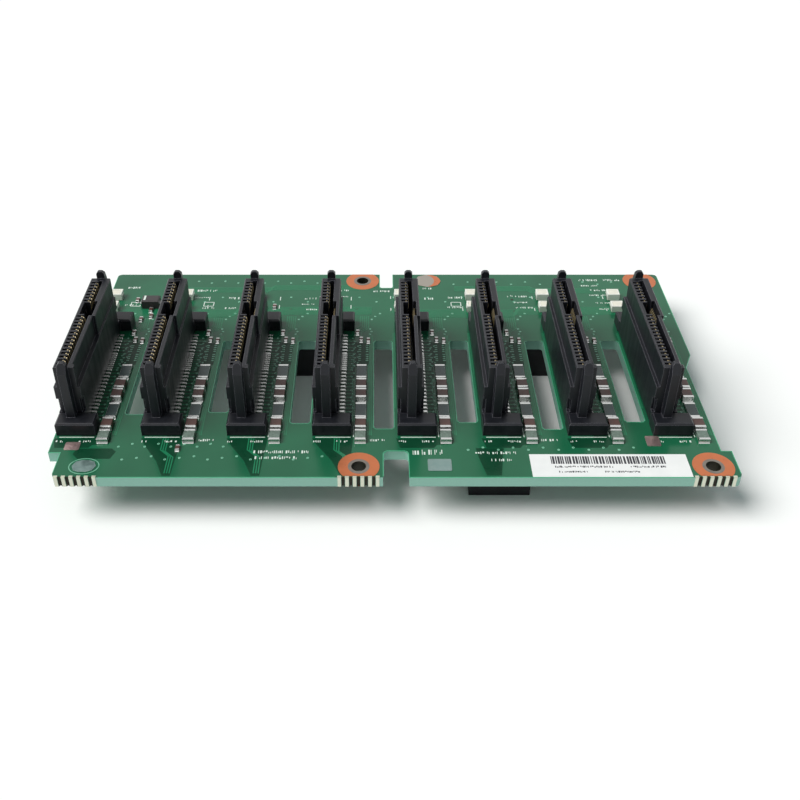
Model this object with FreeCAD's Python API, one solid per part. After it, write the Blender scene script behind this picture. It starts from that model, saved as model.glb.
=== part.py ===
import FreeCAD
import Part
import math
import os

os.makedirs("parts", exist_ok=True)

# ---- Circuit board -------------------------------------------------------
BOARD_W = 140.1
BOARD_D = 78.2
BOARD_T = 2.4
STAND_H = 8.1
CORNER_R = 1.0
LEFT_STEP = 2.5
LEFT_STEP_D = 7.5
RIGHT_STEP = 2.2
RIGHT_STEP_START = 7.9
RIGHT_STEP_END = 37.0
RIGHT_STEP_BLEND = 5.0
NOTCH_BAY_COUNT = 3
FRONT_NOTCH_OFFSET = 11.85
FRONT_NOTCH_W = 5.3
FRONT_NOTCH_D = 8.1
BACK_NOTCH_OFFSET = 11.37
BACK_NOTCH_W = 3.35
BACK_NOTCH_D = 6.7
NOTCH_R = 0.8
ARC_STEPS = 2

# ---- Bays ----------------------------------------------------------------
BAYS = 8
FIRST_BAY_INSET = 3.3
LAST_BAY_INSET = 12.2

# ---- Vent slots between the bays -----------------------------------------
VENT_OFFSET = 9.93
VENT_W = 4.33
VENT_BACK = 47.7
VENT_FRONTS = (19.9, 20.6, 16.9, 15.1, 17.2, 14.9, 17.4)
VENT_R = 0.7

# ---- Mounting holes ------------------------------------------------------
HOLE_EDGE = 3.25
HOLE_RIGHT_EDGE = 5.05
HOLE_NOTCH_GAP = 4.9
HOLE_D = 3.2
RING_D = 8.4
RING_MARGIN = 0.1
RING_SIDES = 14
FOIL = 0.06

# ---- Edge plating with half-round grooves --------------------------------
GROOVES = 5
GROOVE_PITCH = 1.53
GROOVE_R = 0.36
GROOVE_SIDES = 6
LEFT_GROOVES_INSET = 7.15
RIGHT_GROOVES_SHIFT = 0.25
PLATING_T = 0.08
PLATING_INSET = 0.06

# ---- Tinned pads: offset across, y from the front edge, width, depth ------
OVAL_PAD = (8.32, 3.35, 4.8, 3.6)
LEFT_SQUARE_PAD = (4.51, 9.5, 3.1, 2.5)
FRONT_PAD = (11.44, 3.67, 4.8, 3.6)
RIGHT_SQUARE_PAD = (-15.52, 11.1, 2.9, 3.2)
ROUND_PAD_OFFSET = 11.92
ROUND_PAD_W = 6.6
ROUND_PAD_D = 6.0
PAD_PROUD = 0.1
PAD_R = 1.7
ROUND_PAD_R = 2.9
PAD_CORNER_R = 0.3

# ---- Drive connector housing (x from its own axis, z from the board) -----
HOUSING_FRONT = 12.88
FOOT_D = 4.05
FOOT_H = 3.1
FOOT_LEFT = 2.88
FOOT_RIGHT = 5.3
FOOT_CHAMFER = 0.35
END_WALL = 0.57
SLOT_LEN = 33.43
SLOT_LEFT = 0.17
SLOT_RIGHT = 0.88
SLOT_FLOOR = 6.0
HOUSING_H = 14.66
UNDERCUT = 0.35
LOWER_LEFT = 2.8
LOWER_RIGHT = 2.65
LEDGE_H = 9.7
RIM_CHAMFER = 0.18
UPPER_LEFT = 2.1
UPPER_RIGHT = 1.71
SHOULDER_RIGHT = 2.3
SHOULDER_START = 23.4
END_BLOCK_D = 1.1
END_BLOCK_RIGHT = 2.15
CORNER_NOTCH_W = 0.6
CORNER_NOTCH_H = 3.5
POST_W = 1.8
POST_D = 1.85
POST_SHIFT = 0.1
POST_H = 16.4
POST_LEAD_H = 2.3
POST_LEAD_D = 1.0
POST_TIP_H = 0.6
POST_TIP_W = 0.9

# ---- Contacts ------------------------------------------------------------
POWER_CONTACTS = 15
SIGNAL_CONTACTS = 7
CONTACT_PITCH = 1.27
GROUP_GAP = 6.35
SLOT_TO_CONTACT = 0.84
SECOND_CONTACTS = 7
SECOND_PITCH = 0.8
CONTACT_T = 0.25
CONTACT_W = 0.5
SECOND_W = 0.36
CAVITY_LEFT = 1.67
CAVITY_W = 0.76
CONTACT_TOP = 13.7
CONTACT_X = -0.47
TAIL_REACH = 3.3
SECOND_X = 1.3
SECOND_TAIL_REACH = 3.6
SECOND_SLOT_RIGHT = 1.62
SECOND_MARGIN = 0.35
KEY_LEFT = 1.33
KEY_FLOOR = 9.0
KEY_MARGIN = 0.35
COMB_BOTTOM = 8.4

# ---- Chip parts in the column beside each connector ----------------------
CHIP_X = 7.15
CHIP_W = 2.4
CHIP_END = 0.55
RESISTOR_L = 5.0
RESISTOR_H = 0.65
RESISTOR_Y = (35.0, 20.9)
CAPACITOR_L = 3.3
CAPACITOR_H = 1.45
CAPACITOR_Y = (29.6, 26.0, 15.8)
FILTER_L = 3.4
FILTER_H = 1.1
FILTER_Y = 12.2
SOLDER_CLEAR = 0.02

# ---- Status lights -------------------------------------------------------
LED_X = -1.3
LED_Y = (66.9, 61.4)
LED_L = 3.2
LED_W = 2.7
LED_H = 1.8

# ---- Power diode ---------------------------------------------------------
DIODE_OFFSET = 8.0
DIODE_Y = 63.2
DIODE_L = 4.3
DIODE_W = 2.8
DIODE_H = 2.3
DIODE_CHAMFER = 0.3
DIODE_LEAD = 0.45
DIODE_LEAD_W = 1.5
DIODE_LEAD_H = 1.1

# ---- Paper label ---------------------------------------------------------
LABEL_INSET = 9.85
LABEL_Y = 0.1
LABEL_W = 31.9
LABEL_D = 6.8
LABEL_T = 0.1

# ---- Cable connectors on the underside -----------------------------------
CABLE_BAY_COUNTS = (3, 6)
CABLE_OFFSETS = (-6.1, -5.5)
CABLE_FRONT = 48.0
CABLE_W = 26.0
CABLE_D = 9.2
CABLE_SLOT_W = 20.0
CABLE_SLOT_D = 2.4
CABLE_SLOT_DEPTH = 5.6
CABLE_KEY_W = 2.4
CABLE_KEY_D = 1.3

# ---- Power connector on the underside ------------------------------------
POWER_BAY_COUNT = 5
POWER_OFFSET = 0.6
POWER_FRONT = 6.05
POWER_W = 12.8
POWER_D = 6.4
POWER_COLS = 4
POWER_PITCH = 3.0
POWER_CELL = 2.3
POWER_CELL_DEPTH = 6.0
POWER_PIN = 0.64
POWER_PIN_L = 4.6

# ---- Derived -------------------------------------------------------------
HALF = 0.5
REACH = 1.0
FRONT = -BOARD_D * HALF
LEFT = -BOARD_W * HALF
RIGHT = BOARD_W * HALF
TOP = STAND_H + BOARD_T
BODY_FRONT = HOUSING_FRONT + FOOT_D
SLOT_FRONT = BODY_FRONT + END_WALL
SLOT_BACK = SLOT_FRONT + SLOT_LEN
BODY_BACK = SLOT_BACK + END_WALL + HALF
LAST_POWER_Y = SLOT_FRONT + SLOT_TO_CONTACT
FIRST_POWER_Y = LAST_POWER_Y + (POWER_CONTACTS - 1) * CONTACT_PITCH
LAST_SIGNAL_Y = FIRST_POWER_Y + GROUP_GAP
SECOND_MID_Y = (FIRST_POWER_Y + LAST_SIGNAL_Y) * HALF
SECOND_SPAN = (SECOND_CONTACTS - 1) * SECOND_PITCH
POWER_YS = [LAST_POWER_Y + i * CONTACT_PITCH for i in range(POWER_CONTACTS)]
SIGNAL_YS = [LAST_SIGNAL_Y + i * CONTACT_PITCH for i in range(SIGNAL_CONTACTS)]
SECOND_YS = [SECOND_MID_Y - SECOND_SPAN * HALF + i * SECOND_PITCH for i in range(SECOND_CONTACTS)]
BAY_PITCH = (BOARD_W - FIRST_BAY_INSET - LAST_BAY_INSET) / (BAYS - 1)
BAY_XS = [LEFT + FIRST_BAY_INSET + i * BAY_PITCH for i in range(BAYS)]
FRONT_NOTCH_X = BAY_XS[NOTCH_BAY_COUNT] + FRONT_NOTCH_OFFSET
BACK_NOTCH_X = BAY_XS[NOTCH_BAY_COUNT] + BACK_NOTCH_OFFSET
HOLE_XS = (FRONT_NOTCH_X - HOLE_NOTCH_GAP, RIGHT - HOLE_RIGHT_EDGE)
HOLE_YS = (HOLE_EDGE, BOARD_D - HOLE_EDGE)
GROOVE_GROUPS_X = (LEFT + LEFT_GROOVES_INSET, HOLE_XS[0], HOLE_XS[1] - RIGHT_GROOVES_SHIFT)
DIODE_X = BAY_XS[0] + DIODE_OFFSET
LABEL_X = RIGHT - LABEL_INSET - LABEL_W
CABLE_XS = [BAY_XS[bay] + offset for bay, offset in zip(CABLE_BAY_COUNTS, CABLE_OFFSETS)]
POWER_X = BAY_XS[POWER_BAY_COUNT] + POWER_OFFSET


def box(x0, x1, y0, y1, z0, z1):
    """A block between two corners; y runs back from the board's front edge, z up from its top."""
    corner = FreeCAD.Vector(x0, y0 + FRONT, z0 + TOP)
    return Part.makeBox(x1 - x0, y1 - y0, z1 - z0, corner)


def cylinder(x, y, diameter, z0, z1):
    """An upright cylinder on the board."""
    base = FreeCAD.Vector(x, y + FRONT, z0 + TOP)
    return Part.makeCylinder(diameter * HALF, z1 - z0, base)


def prism_xz(points, y0, y1):
    """A profile in x and z carried from y0 back to y1."""
    ring = [FreeCAD.Vector(x, y0 + FRONT, z + TOP) for x, z in points]
    face = Part.Face(Part.makePolygon(ring + ring[:1]))
    return face.extrude(FreeCAD.Vector(0, y1 - y0, 0))


def prism_yz(points, x0, x1):
    """A profile in y and z carried from x0 across to x1."""
    ring = [FreeCAD.Vector(x0, y + FRONT, z + TOP) for y, z in points]
    face = Part.Face(Part.makePolygon(ring + ring[:1]))
    return face.extrude(FreeCAD.Vector(x1 - x0, 0, 0))


def upright(points, z0, z1):
    """An outline in x and y carried up from z0 to z1."""
    ring = [FreeCAD.Vector(x, y + FRONT, z0 + TOP) for x, y in points]
    face = Part.Face(Part.makePolygon(ring + ring[:1]))
    return face.extrude(FreeCAD.Vector(0, 0, z1 - z0))


def turn(cx, cy, radius, start, sweep, steps):
    """Points along an arc, from the start angle through the sweep, both in degrees."""
    angles = [math.radians(start + sweep * i / steps) for i in range(steps + 1)]
    return [(cx + radius * math.cos(a), cy + radius * math.sin(a)) for a in angles]


def rounded_rectangle(x0, x1, y0, y1, radius):
    """A rectangle with a quarter turn at each corner."""
    points = turn(x0 + radius, y0 + radius, radius, 180, 90, ARC_STEPS)
    points += turn(x1 - radius, y0 + radius, radius, 270, 90, ARC_STEPS)
    points += turn(x1 - radius, y1 - radius, radius, 0, 90, ARC_STEPS)
    points += turn(x0 + radius, y1 - radius, radius, 90, 90, ARC_STEPS)
    return points


def polygon(cx, cy, radius, sides):
    """A regular polygon round a point."""
    return turn(cx, cy, radius, 0, 360 - 360 / sides, sides - 1)


def export(shape, name):
    """Writes one node."""
    shape.exportStep("parts/" + name + ".step")


def group(solids, name):
    """Writes one node made of several separate solids."""
    export(Part.Compound(solids), name)


# ---- Circuit board -------------------------------------------------------
def mount_points():
    return [(x, y) for x in HOLE_XS for y in HOLE_YS]


def groove_xs(centre):
    first = centre - (GROOVES - 1) * GROOVE_PITCH * HALF
    return [first + i * GROOVE_PITCH for i in range(GROOVES)]


def notch_outline(x0, width, y0, y1):
    """A notch with two rounded inner corners; y0 is its closed end, y1 beyond the board's edge."""
    side = 1 if y1 > y0 else -1
    x1 = x0 + width
    points = turn(x0 + NOTCH_R, y0 + side * NOTCH_R, NOTCH_R, 180, side * 90, ARC_STEPS)
    points += turn(x1 - NOTCH_R, y0 + side * NOTCH_R, NOTCH_R, side * 270, side * 90, ARC_STEPS)
    return points + [(x1, y1), (x0, y1)]


def board_outline():
    """The panel seen from above, clockwise from its front left corner, without the notches."""
    step_x = RIGHT - RIGHT_STEP
    points = turn(LEFT + LEFT_STEP + CORNER_R, CORNER_R, CORNER_R, 270, -90, ARC_STEPS)
    points += [(LEFT + LEFT_STEP, LEFT_STEP_D), (LEFT, LEFT_STEP_D)]
    points += turn(LEFT + CORNER_R, BOARD_D - CORNER_R, CORNER_R, 180, -90, ARC_STEPS)
    points += turn(RIGHT - CORNER_R, BOARD_D - CORNER_R, CORNER_R, 90, -90, ARC_STEPS)
    points += [(RIGHT, RIGHT_STEP_END + RIGHT_STEP_BLEND), (step_x, RIGHT_STEP_END),
               (step_x, RIGHT_STEP_START), (RIGHT, RIGHT_STEP_START)]
    return points + turn(RIGHT - CORNER_R, CORNER_R, CORNER_R, 0, -90, ARC_STEPS)


def circuit_board():
    board = upright(board_outline(), -BOARD_T, 0)
    low = -BOARD_T - REACH
    cutters = [upright(notch_outline(FRONT_NOTCH_X, FRONT_NOTCH_W, FRONT_NOTCH_D, -REACH), low, REACH),
               upright(notch_outline(BACK_NOTCH_X, BACK_NOTCH_W, BOARD_D - BACK_NOTCH_D,
                                     BOARD_D + REACH), low, REACH)]
    for index in range(BAYS - 1):
        x0 = BAY_XS[index] + VENT_OFFSET
        slot = rounded_rectangle(x0, x0 + VENT_W, VENT_FRONTS[index], VENT_BACK, VENT_R)
        cutters.append(upright(slot, low, REACH))
    for centre in GROOVE_GROUPS_X:
        for x in groove_xs(centre):
            cutters.append(upright(polygon(x, 0, GROOVE_R, GROOVE_SIDES), low, REACH))
    for x, y in mount_points():
        cutters.append(cylinder(x, y, HOLE_D, low, REACH))
    return board.cut(cutters)


def copper_rings(board):
    """Foil rings round the holes, cut off where the board ends."""
    rings = []
    inner = HOLE_D * HALF + RING_MARGIN
    shadow = board.translated(FreeCAD.Vector(0, 0, BOARD_T * HALF))
    for x, y in mount_points():
        ring = upright(polygon(x, y, RING_D * HALF, RING_SIDES), 0, FOIL)
        ring = ring.cut(upright(polygon(x, y, inner, RING_SIDES), -FOIL, FOIL + FOIL))
        rings.append(ring.common(shadow))
    return rings


def edge_plating():
    """A plated land on each side of every groove."""
    lands = []
    length = GROOVE_PITCH - GROOVE_R / HALF - PLATING_INSET / HALF
    for centre in GROOVE_GROUPS_X:
        first = groove_xs(centre)[0] - GROOVE_PITCH * HALF
        for i in range(GROOVES + 1):
            x = first + i * GROOVE_PITCH
            lands.append(box(x - length * HALF, x + length * HALF, -PLATING_T, 0, -BOARD_T, 0))
    return lands


def pad(origin, spot, radius):
    """A flat pad, its place across given from an origin."""
    offset, y, w, d = spot
    x = origin + offset
    outline = rounded_rectangle(x - w * HALF, x + w * HALF, y - d * HALF, y + d * HALF, radius)
    return upright(outline, 0, PAD_PROUD)


def tinned_pads():
    round_pad = (ROUND_PAD_OFFSET, HOLE_YS[1], ROUND_PAD_W, ROUND_PAD_D)
    return [pad(LEFT, OVAL_PAD, PAD_R), pad(FRONT_NOTCH_X, round_pad, ROUND_PAD_R),
            pad(FRONT_NOTCH_X, FRONT_PAD, PAD_CORNER_R), pad(LEFT, LEFT_SQUARE_PAD, PAD_CORNER_R),
            pad(RIGHT, RIGHT_SQUARE_PAD, PAD_CORNER_R)]


# ---- Drive connector -----------------------------------------------------
def guide_post(cx, inner_y, outward):
    """A post whose outer face leans in near the top, with a narrow tip."""
    outer_y = inner_y + outward * POST_D
    lean_y = outer_y - outward * POST_LEAD_D
    lean_z = POST_H - POST_LEAD_H
    side = ((inner_y, UNDERCUT), (outer_y, UNDERCUT), (outer_y, lean_z),
            (lean_y, POST_H), (inner_y, POST_H))
    x0 = cx + POST_SHIFT - POST_W * HALF
    x1 = cx + POST_SHIFT + POST_W * HALF
    post = prism_yz(side, x0, x1)
    inset = (POST_W - POST_TIP_W) * HALF
    tip = ((x0, UNDERCUT), (x1, UNDERCUT), (x1, POST_H - POST_TIP_H), (x1 - inset, POST_H),
           (x0 + inset, POST_H), (x0, POST_H - POST_TIP_H))
    low = min(inner_y, outer_y)
    return post.common(prism_xz(tip, low, low + POST_D))


def foot(cx, y0):
    """The low hold-down block at one end of the housing."""
    block = box(cx - FOOT_LEFT, cx + FOOT_RIGHT, y0, y0 + FOOT_D, 0, FOOT_H)
    top_edges = [edge for edge in block.Edges
                 if min(v.Point.z for v in edge.Vertexes) > TOP + FOOT_H - FOIL]
    return block.makeChamfer(FOOT_CHAMFER, top_edges)


def upper_body(cx):
    """The tall half of the housing, chamfered along its rim, with a shoulder on the far half."""
    y1 = BODY_BACK
    body = box(cx - UPPER_LEFT, cx + UPPER_RIGHT, BODY_FRONT, y1, LEDGE_H, HOUSING_H)
    near_end = box(cx, cx + END_BLOCK_RIGHT, BODY_FRONT, BODY_FRONT + END_BLOCK_D, LEDGE_H, HOUSING_H)
    shoulder = box(cx, cx + SHOULDER_RIGHT, HOUSING_FRONT + SHOULDER_START, y1, LEDGE_H, HOUSING_H)
    body = body.fuse([near_end, shoulder]).removeSplitter()
    top = TOP + HOUSING_H
    rim = [edge for edge in body.Edges
           if all(abs(v.Point.z - top) < FOIL for v in edge.Vertexes)
           and abs(edge.Vertexes[0].Point.x - edge.Vertexes[1].Point.x) < FOIL]
    return body.makeChamfer(RIM_CHAMFER, rim)


def corner_notches(cx):
    """Cutters for the recess under the flange at each lower corner."""
    cutters = []
    z1 = FOOT_H + CORNER_NOTCH_H
    for x0, x1 in ((cx - LOWER_LEFT - REACH, cx - LOWER_LEFT + CORNER_NOTCH_W),
                   (cx + LOWER_RIGHT - CORNER_NOTCH_W, cx + LOWER_RIGHT + REACH)):
        for y0, y1 in ((BODY_FRONT - REACH, BODY_FRONT + END_BLOCK_D),
                       (BODY_BACK - END_BLOCK_D, BODY_BACK + REACH)):
            cutters.append(box(x0, x1, y0, y1, FOOT_H, z1))
    return cutters


def comb_cutters(cx):
    """The tongue slot, a cavity for each primary contact, and the trough under them all."""
    top = HOUSING_H + REACH
    cutters = [box(cx - SLOT_LEFT, cx + SLOT_RIGHT, SLOT_FRONT, SLOT_BACK, SLOT_FLOOR, top)]
    for y in POWER_YS + SIGNAL_YS:
        cutters.append(box(cx - CAVITY_LEFT, cx - SLOT_LEFT, y - CAVITY_W * HALF,
                           y + CAVITY_W * HALF, COMB_BOTTOM, top))
    for ys in (POWER_YS, SIGNAL_YS):
        cutters.append(box(cx - CAVITY_LEFT, cx - SLOT_LEFT, ys[0] - CAVITY_W * HALF,
                           ys[-1] + CAVITY_W * HALF, -REACH, COMB_BOTTOM))
    return cutters


def key_cutters(cx):
    """The key gap and the narrow slot behind it for the secondary contacts."""
    top = HOUSING_H + REACH
    y0 = FIRST_POWER_Y + CAVITY_W * HALF + KEY_MARGIN
    y1 = LAST_SIGNAL_Y - CAVITY_W * HALF - KEY_MARGIN
    half_span = SECOND_SPAN * HALF + SECOND_W * HALF + SECOND_MARGIN
    return [box(cx - KEY_LEFT, cx - SLOT_LEFT, y0, y1, KEY_FLOOR, top),
            box(cx + SLOT_RIGHT, cx + SECOND_SLOT_RIGHT, SECOND_MID_Y - half_span,
                SECOND_MID_Y + half_span, -REACH, top)]


def housing(cx):
    lower = box(cx - LOWER_LEFT, cx + LOWER_RIGHT, BODY_FRONT, BODY_BACK, UNDERCUT, LEDGE_H)
    lower = lower.cut(corner_notches(cx))
    body = lower.fuse([upper_body(cx), foot(cx, HOUSING_FRONT), foot(cx, BODY_BACK),
                       guide_post(cx, BODY_FRONT, -1), guide_post(cx, BODY_BACK, 1)])
    return body.removeSplitter().cut(comb_cutters(cx) + key_cutters(cx))


def contact(stem_x, reach, y, width):
    """A bent strip: an upright spring in the housing and a tail soldered to the board."""
    inner = stem_x + CONTACT_T
    profile = ((stem_x, 0), (reach, 0), (reach, CONTACT_T), (inner, CONTACT_T),
               (inner, CONTACT_TOP), (stem_x, CONTACT_TOP))
    return prism_xz(profile, y - width * HALF, y + width * HALF)


def primary_contacts(cx):
    return [contact(cx + CONTACT_X, cx + TAIL_REACH, y, CONTACT_W) for y in POWER_YS + SIGNAL_YS]


def secondary_contacts(cx):
    return [contact(cx + SECOND_X, cx + SECOND_TAIL_REACH, y, SECOND_W) for y in SECOND_YS]


# ---- Chip parts ----------------------------------------------------------
def chip(x, y, w, length, h, end):
    """A chip's body and its two end caps, lying along y."""
    front = y - length * HALF
    back = y + length * HALF
    body = box(x - w * HALF, x + w * HALF, front + end, back - end, SOLDER_CLEAR, h)
    caps = []
    for y0 in (front, back - end):
        caps.append(box(x - w * HALF, x + w * HALF, y0, y0 + end, 0, h + SOLDER_CLEAR))
    return body, caps


def chip_family(spots, w, length, h, end, bodies_name, ends_name):
    bodies = []
    ends = []
    for x, y in spots:
        body, caps = chip(x, y, w, length, h, end)
        bodies.append(body)
        ends.extend(caps)
    group(bodies, bodies_name)
    group(ends, ends_name)


def bay_spots(offset, ys):
    return [(cx + offset, y) for cx in BAY_XS for y in ys]


def led_bodies():
    bodies = []
    for x, y in bay_spots(LED_X, LED_Y):
        bodies.append(box(x - LED_L * HALF, x + LED_L * HALF, y - LED_W * HALF, y + LED_W * HALF,
                          0, LED_H))
    return bodies


def diode_parts():
    body = box(DIODE_X - DIODE_L * HALF, DIODE_X + DIODE_L * HALF, DIODE_Y - DIODE_W * HALF,
               DIODE_Y + DIODE_W * HALF, SOLDER_CLEAR, DIODE_H)
    top_edges = [edge for edge in body.Edges
                 if min(v.Point.z for v in edge.Vertexes) > TOP + DIODE_H - FOIL]
    body = body.makeChamfer(DIODE_CHAMFER, top_edges)
    leads = []
    for x0 in (DIODE_X - DIODE_L * HALF - DIODE_LEAD, DIODE_X + DIODE_L * HALF):
        leads.append(box(x0, x0 + DIODE_LEAD, DIODE_Y - DIODE_LEAD_W * HALF,
                         DIODE_Y + DIODE_LEAD_W * HALF, 0, DIODE_LEAD_H))
    return body, leads


# ---- Underside connectors ------------------------------------------------
def cable_connector(cx):
    """A board-mounted cable receptacle, open downwards."""
    y1 = CABLE_FRONT + CABLE_D
    floor = -BOARD_T - STAND_H
    body = box(cx - CABLE_W * HALF, cx + CABLE_W * HALF, CABLE_FRONT, y1, floor, -BOARD_T)
    mid = CABLE_FRONT + CABLE_D * HALF
    slot = box(cx - CABLE_SLOT_W * HALF, cx + CABLE_SLOT_W * HALF, mid - CABLE_SLOT_D * HALF,
               mid + CABLE_SLOT_D * HALF, floor - REACH, floor + CABLE_SLOT_DEPTH)
    key = box(cx - CABLE_KEY_W * HALF, cx + CABLE_KEY_W * HALF, mid, mid + CABLE_SLOT_D * HALF
              + CABLE_KEY_D, floor - REACH, floor + CABLE_SLOT_DEPTH)
    return body.cut([slot, key])


def power_cells():
    first = POWER_X - (POWER_COLS - 1) * POWER_PITCH * HALF
    middle = POWER_FRONT + POWER_D * HALF
    rows = (middle - POWER_PITCH * HALF, middle + POWER_PITCH * HALF)
    return [(first + i * POWER_PITCH, y) for i in range(POWER_COLS) for y in rows]


def power_connector():
    floor = -BOARD_T - STAND_H
    body = box(POWER_X - POWER_W * HALF, POWER_X + POWER_W * HALF, POWER_FRONT,
               POWER_FRONT + POWER_D, floor, -BOARD_T)
    cutters = []
    for x, y in power_cells():
        cutters.append(box(x - POWER_CELL * HALF, x + POWER_CELL * HALF, y - POWER_CELL * HALF,
                           y + POWER_CELL * HALF, floor - REACH, floor + POWER_CELL_DEPTH))
    return body.cut(cutters)


def power_pins():
    roof = -BOARD_T - STAND_H + POWER_CELL_DEPTH
    pins = []
    for x, y in power_cells():
        pins.append(box(x - POWER_PIN * HALF, x + POWER_PIN * HALF, y - POWER_PIN * HALF,
                        y + POWER_PIN * HALF, roof - POWER_PIN_L, roof))
    return pins


# ---- Write every node ----------------------------------------------------
board_solid = circuit_board()
export(board_solid, "circuit_board")
group(copper_rings(board_solid), "copper_rings")
group(edge_plating(), "edge_plating")
group(tinned_pads(), "tinned_pads")
for number, bay_x in enumerate(BAY_XS, 1):
    export(housing(bay_x), "drive_connector_%d" % number)
    group(primary_contacts(bay_x), "primary_contacts_%d" % number)
    group(secondary_contacts(bay_x), "secondary_contacts_%d" % number)
chip_family(bay_spots(CHIP_X, RESISTOR_Y), CHIP_W, RESISTOR_L, RESISTOR_H, CHIP_END,
            "resistor_bodies", "resistor_ends")
chip_family(bay_spots(CHIP_X, CAPACITOR_Y), CHIP_W, CAPACITOR_L, CAPACITOR_H, CHIP_END,
            "capacitor_bodies", "capacitor_ends")
chip_family(bay_spots(CHIP_X, (FILTER_Y,)), CHIP_W, FILTER_L, FILTER_H, CHIP_END,
            "filter_bodies", "filter_ends")
group(led_bodies(), "led_bodies")
diode_body, diode_leads = diode_parts()
export(diode_body, "power_diode")
group(diode_leads, "diode_leads")
export(box(LABEL_X, LABEL_X + LABEL_W, LABEL_Y, LABEL_Y + LABEL_D, 0, LABEL_T), "paper_label")
for letter, cable_x in zip("ab", CABLE_XS):
    export(cable_connector(cable_x), "cable_connector_" + letter)
export(power_connector(), "power_connector")
group(power_pins(), "power_pins")
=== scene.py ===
import math
from typing import NamedTuple

import bpy
import numpy as np
from bpy.props import FloatProperty, FloatVectorProperty, IntProperty, PointerProperty
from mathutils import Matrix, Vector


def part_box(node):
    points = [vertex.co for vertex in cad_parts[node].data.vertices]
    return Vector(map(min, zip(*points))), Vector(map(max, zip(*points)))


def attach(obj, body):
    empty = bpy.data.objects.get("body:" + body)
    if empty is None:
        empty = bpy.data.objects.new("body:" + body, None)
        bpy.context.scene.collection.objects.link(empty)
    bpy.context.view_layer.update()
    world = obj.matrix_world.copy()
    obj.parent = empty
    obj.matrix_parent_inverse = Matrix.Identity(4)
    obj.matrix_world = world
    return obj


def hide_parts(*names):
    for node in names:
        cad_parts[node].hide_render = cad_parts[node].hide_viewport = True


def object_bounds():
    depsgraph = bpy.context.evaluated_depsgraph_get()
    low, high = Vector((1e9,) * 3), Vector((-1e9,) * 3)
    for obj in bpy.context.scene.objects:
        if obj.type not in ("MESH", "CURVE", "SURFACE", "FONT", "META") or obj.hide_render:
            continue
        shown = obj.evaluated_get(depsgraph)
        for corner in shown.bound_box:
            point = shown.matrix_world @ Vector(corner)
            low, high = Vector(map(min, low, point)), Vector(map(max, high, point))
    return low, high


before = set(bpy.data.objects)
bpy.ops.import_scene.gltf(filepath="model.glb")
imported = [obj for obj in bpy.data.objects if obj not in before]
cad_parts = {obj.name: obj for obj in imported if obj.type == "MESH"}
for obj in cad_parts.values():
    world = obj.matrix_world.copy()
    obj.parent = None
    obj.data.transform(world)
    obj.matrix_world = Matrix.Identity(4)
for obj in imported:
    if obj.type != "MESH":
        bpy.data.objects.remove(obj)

bl_info = {
    "name": "Drive Backplane Dresser",
    "version": (1, 0, 0),
    "blender": (4, 5, 0),
    "location": "View3D > Sidebar > Backplane",
    "description": "Finishes and fine parts for an eight-bay drive backplane board",
    "category": "Object",
}

# ---- Sizes ----------------------------------------------------------------
# Millimetres: x is the frame's, y starts at the board's front edge and z at the board's top
CAD_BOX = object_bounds()
MM = 0.001
BOARD_LOW, BOARD_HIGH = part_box("circuit_board")
FRONT = BOARD_LOW.y / MM
LEFT = BOARD_LOW.x / MM
RIGHT = BOARD_HIGH.x / MM
DEPTH = (BOARD_HIGH.y - BOARD_LOW.y) / MM
TOP = BOARD_HIGH.z / MM
THICK = (BOARD_HIGH.z - BOARD_LOW.z) / MM
STAND = BOARD_LOW.z / MM

# Bays: a housing's foot reaches this far left of its bay's axis
BAYS = 8
FOOT_LEFT = 2.88
AXES = [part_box("drive_connector_%d" % n)[0].x / MM + FOOT_LEFT for n in range(1, BAYS + 1)]

# Rows of contacts, back from the housing's front: power, signal, and the second row in the key gap; all
# tails end at the same distance from the axis
HOUSING_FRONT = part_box("drive_connector_1")[0].y / MM - FRONT
FIRST_CONTACT = 5.46
PITCH = 1.27
KEY_GAP = 6.35
SECOND_PITCH = 0.8
POWER_COUNT, SIGNAL_COUNT = 15, 7
POWER_ROW = [HOUSING_FRONT + FIRST_CONTACT + PITCH * i for i in range(POWER_COUNT)]
SIGNAL_ROW = [POWER_ROW[-1] + KEY_GAP + PITCH * i for i in range(SIGNAL_COUNT)]
PRIMARY_ROW = POWER_ROW + SIGNAL_ROW
SECOND_ROW = [(POWER_ROW[-1] + SIGNAL_ROW[0]) / 2 + SECOND_PITCH * i for i in range(-3, 4)]
TAIL_TIP = 3.6

# Vents: their fronts, their common back, their sides from the axis on their left and their corners
VENT_FRONTS = (19.9, 20.6, 16.9, 15.1, 17.2, 14.9, 17.4)
VENT_BACK = 47.7
VENT_SIDES = (9.89, 14.3)
VENT_CORNER = 0.5

# Chips beside a bay: their column from the axis, the way they lie, their rows, and length, width and
# height
CHIP_X = 7.15
CHIP_WAY = np.array([0.0, 1.0, 0.0])
RESISTOR_ROWS, RESISTOR_SIZE = (35.0, 20.9), (5.0, 2.4, 0.65)
CAPACITOR_ROWS, CAPACITOR_SIZE = (29.6, 26.0, 15.8), (3.3, 2.4, 1.45)
FILTER_ROWS, FILTER_SIZE = (12.2,), (3.4, 2.4, 1.1)
END_WRAP = 0.55

# Status lamps behind a bay: their column from the axis and their rows
LAMP_X = -1.3
LAMP_ROWS = (66.9, 61.4)

# Mounting holes, and the grooves in the front edge: the middles of their three groups
HOLE_INSET = 3.25
HOLE_XS = (-6.4, RIGHT - 5.05)
HOLE_YS = (HOLE_INSET, DEPTH - HOLE_INSET)
HOLES = np.array([(x, y, 0.0) for x in HOLE_XS for y in HOLE_YS])
GROOVE_GROUPS = (LEFT + 7.15, HOLE_XS[0], HOLE_XS[1] - 0.25)
GROOVE_PITCH = 1.53
GROOVE_COUNT = 5


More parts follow.
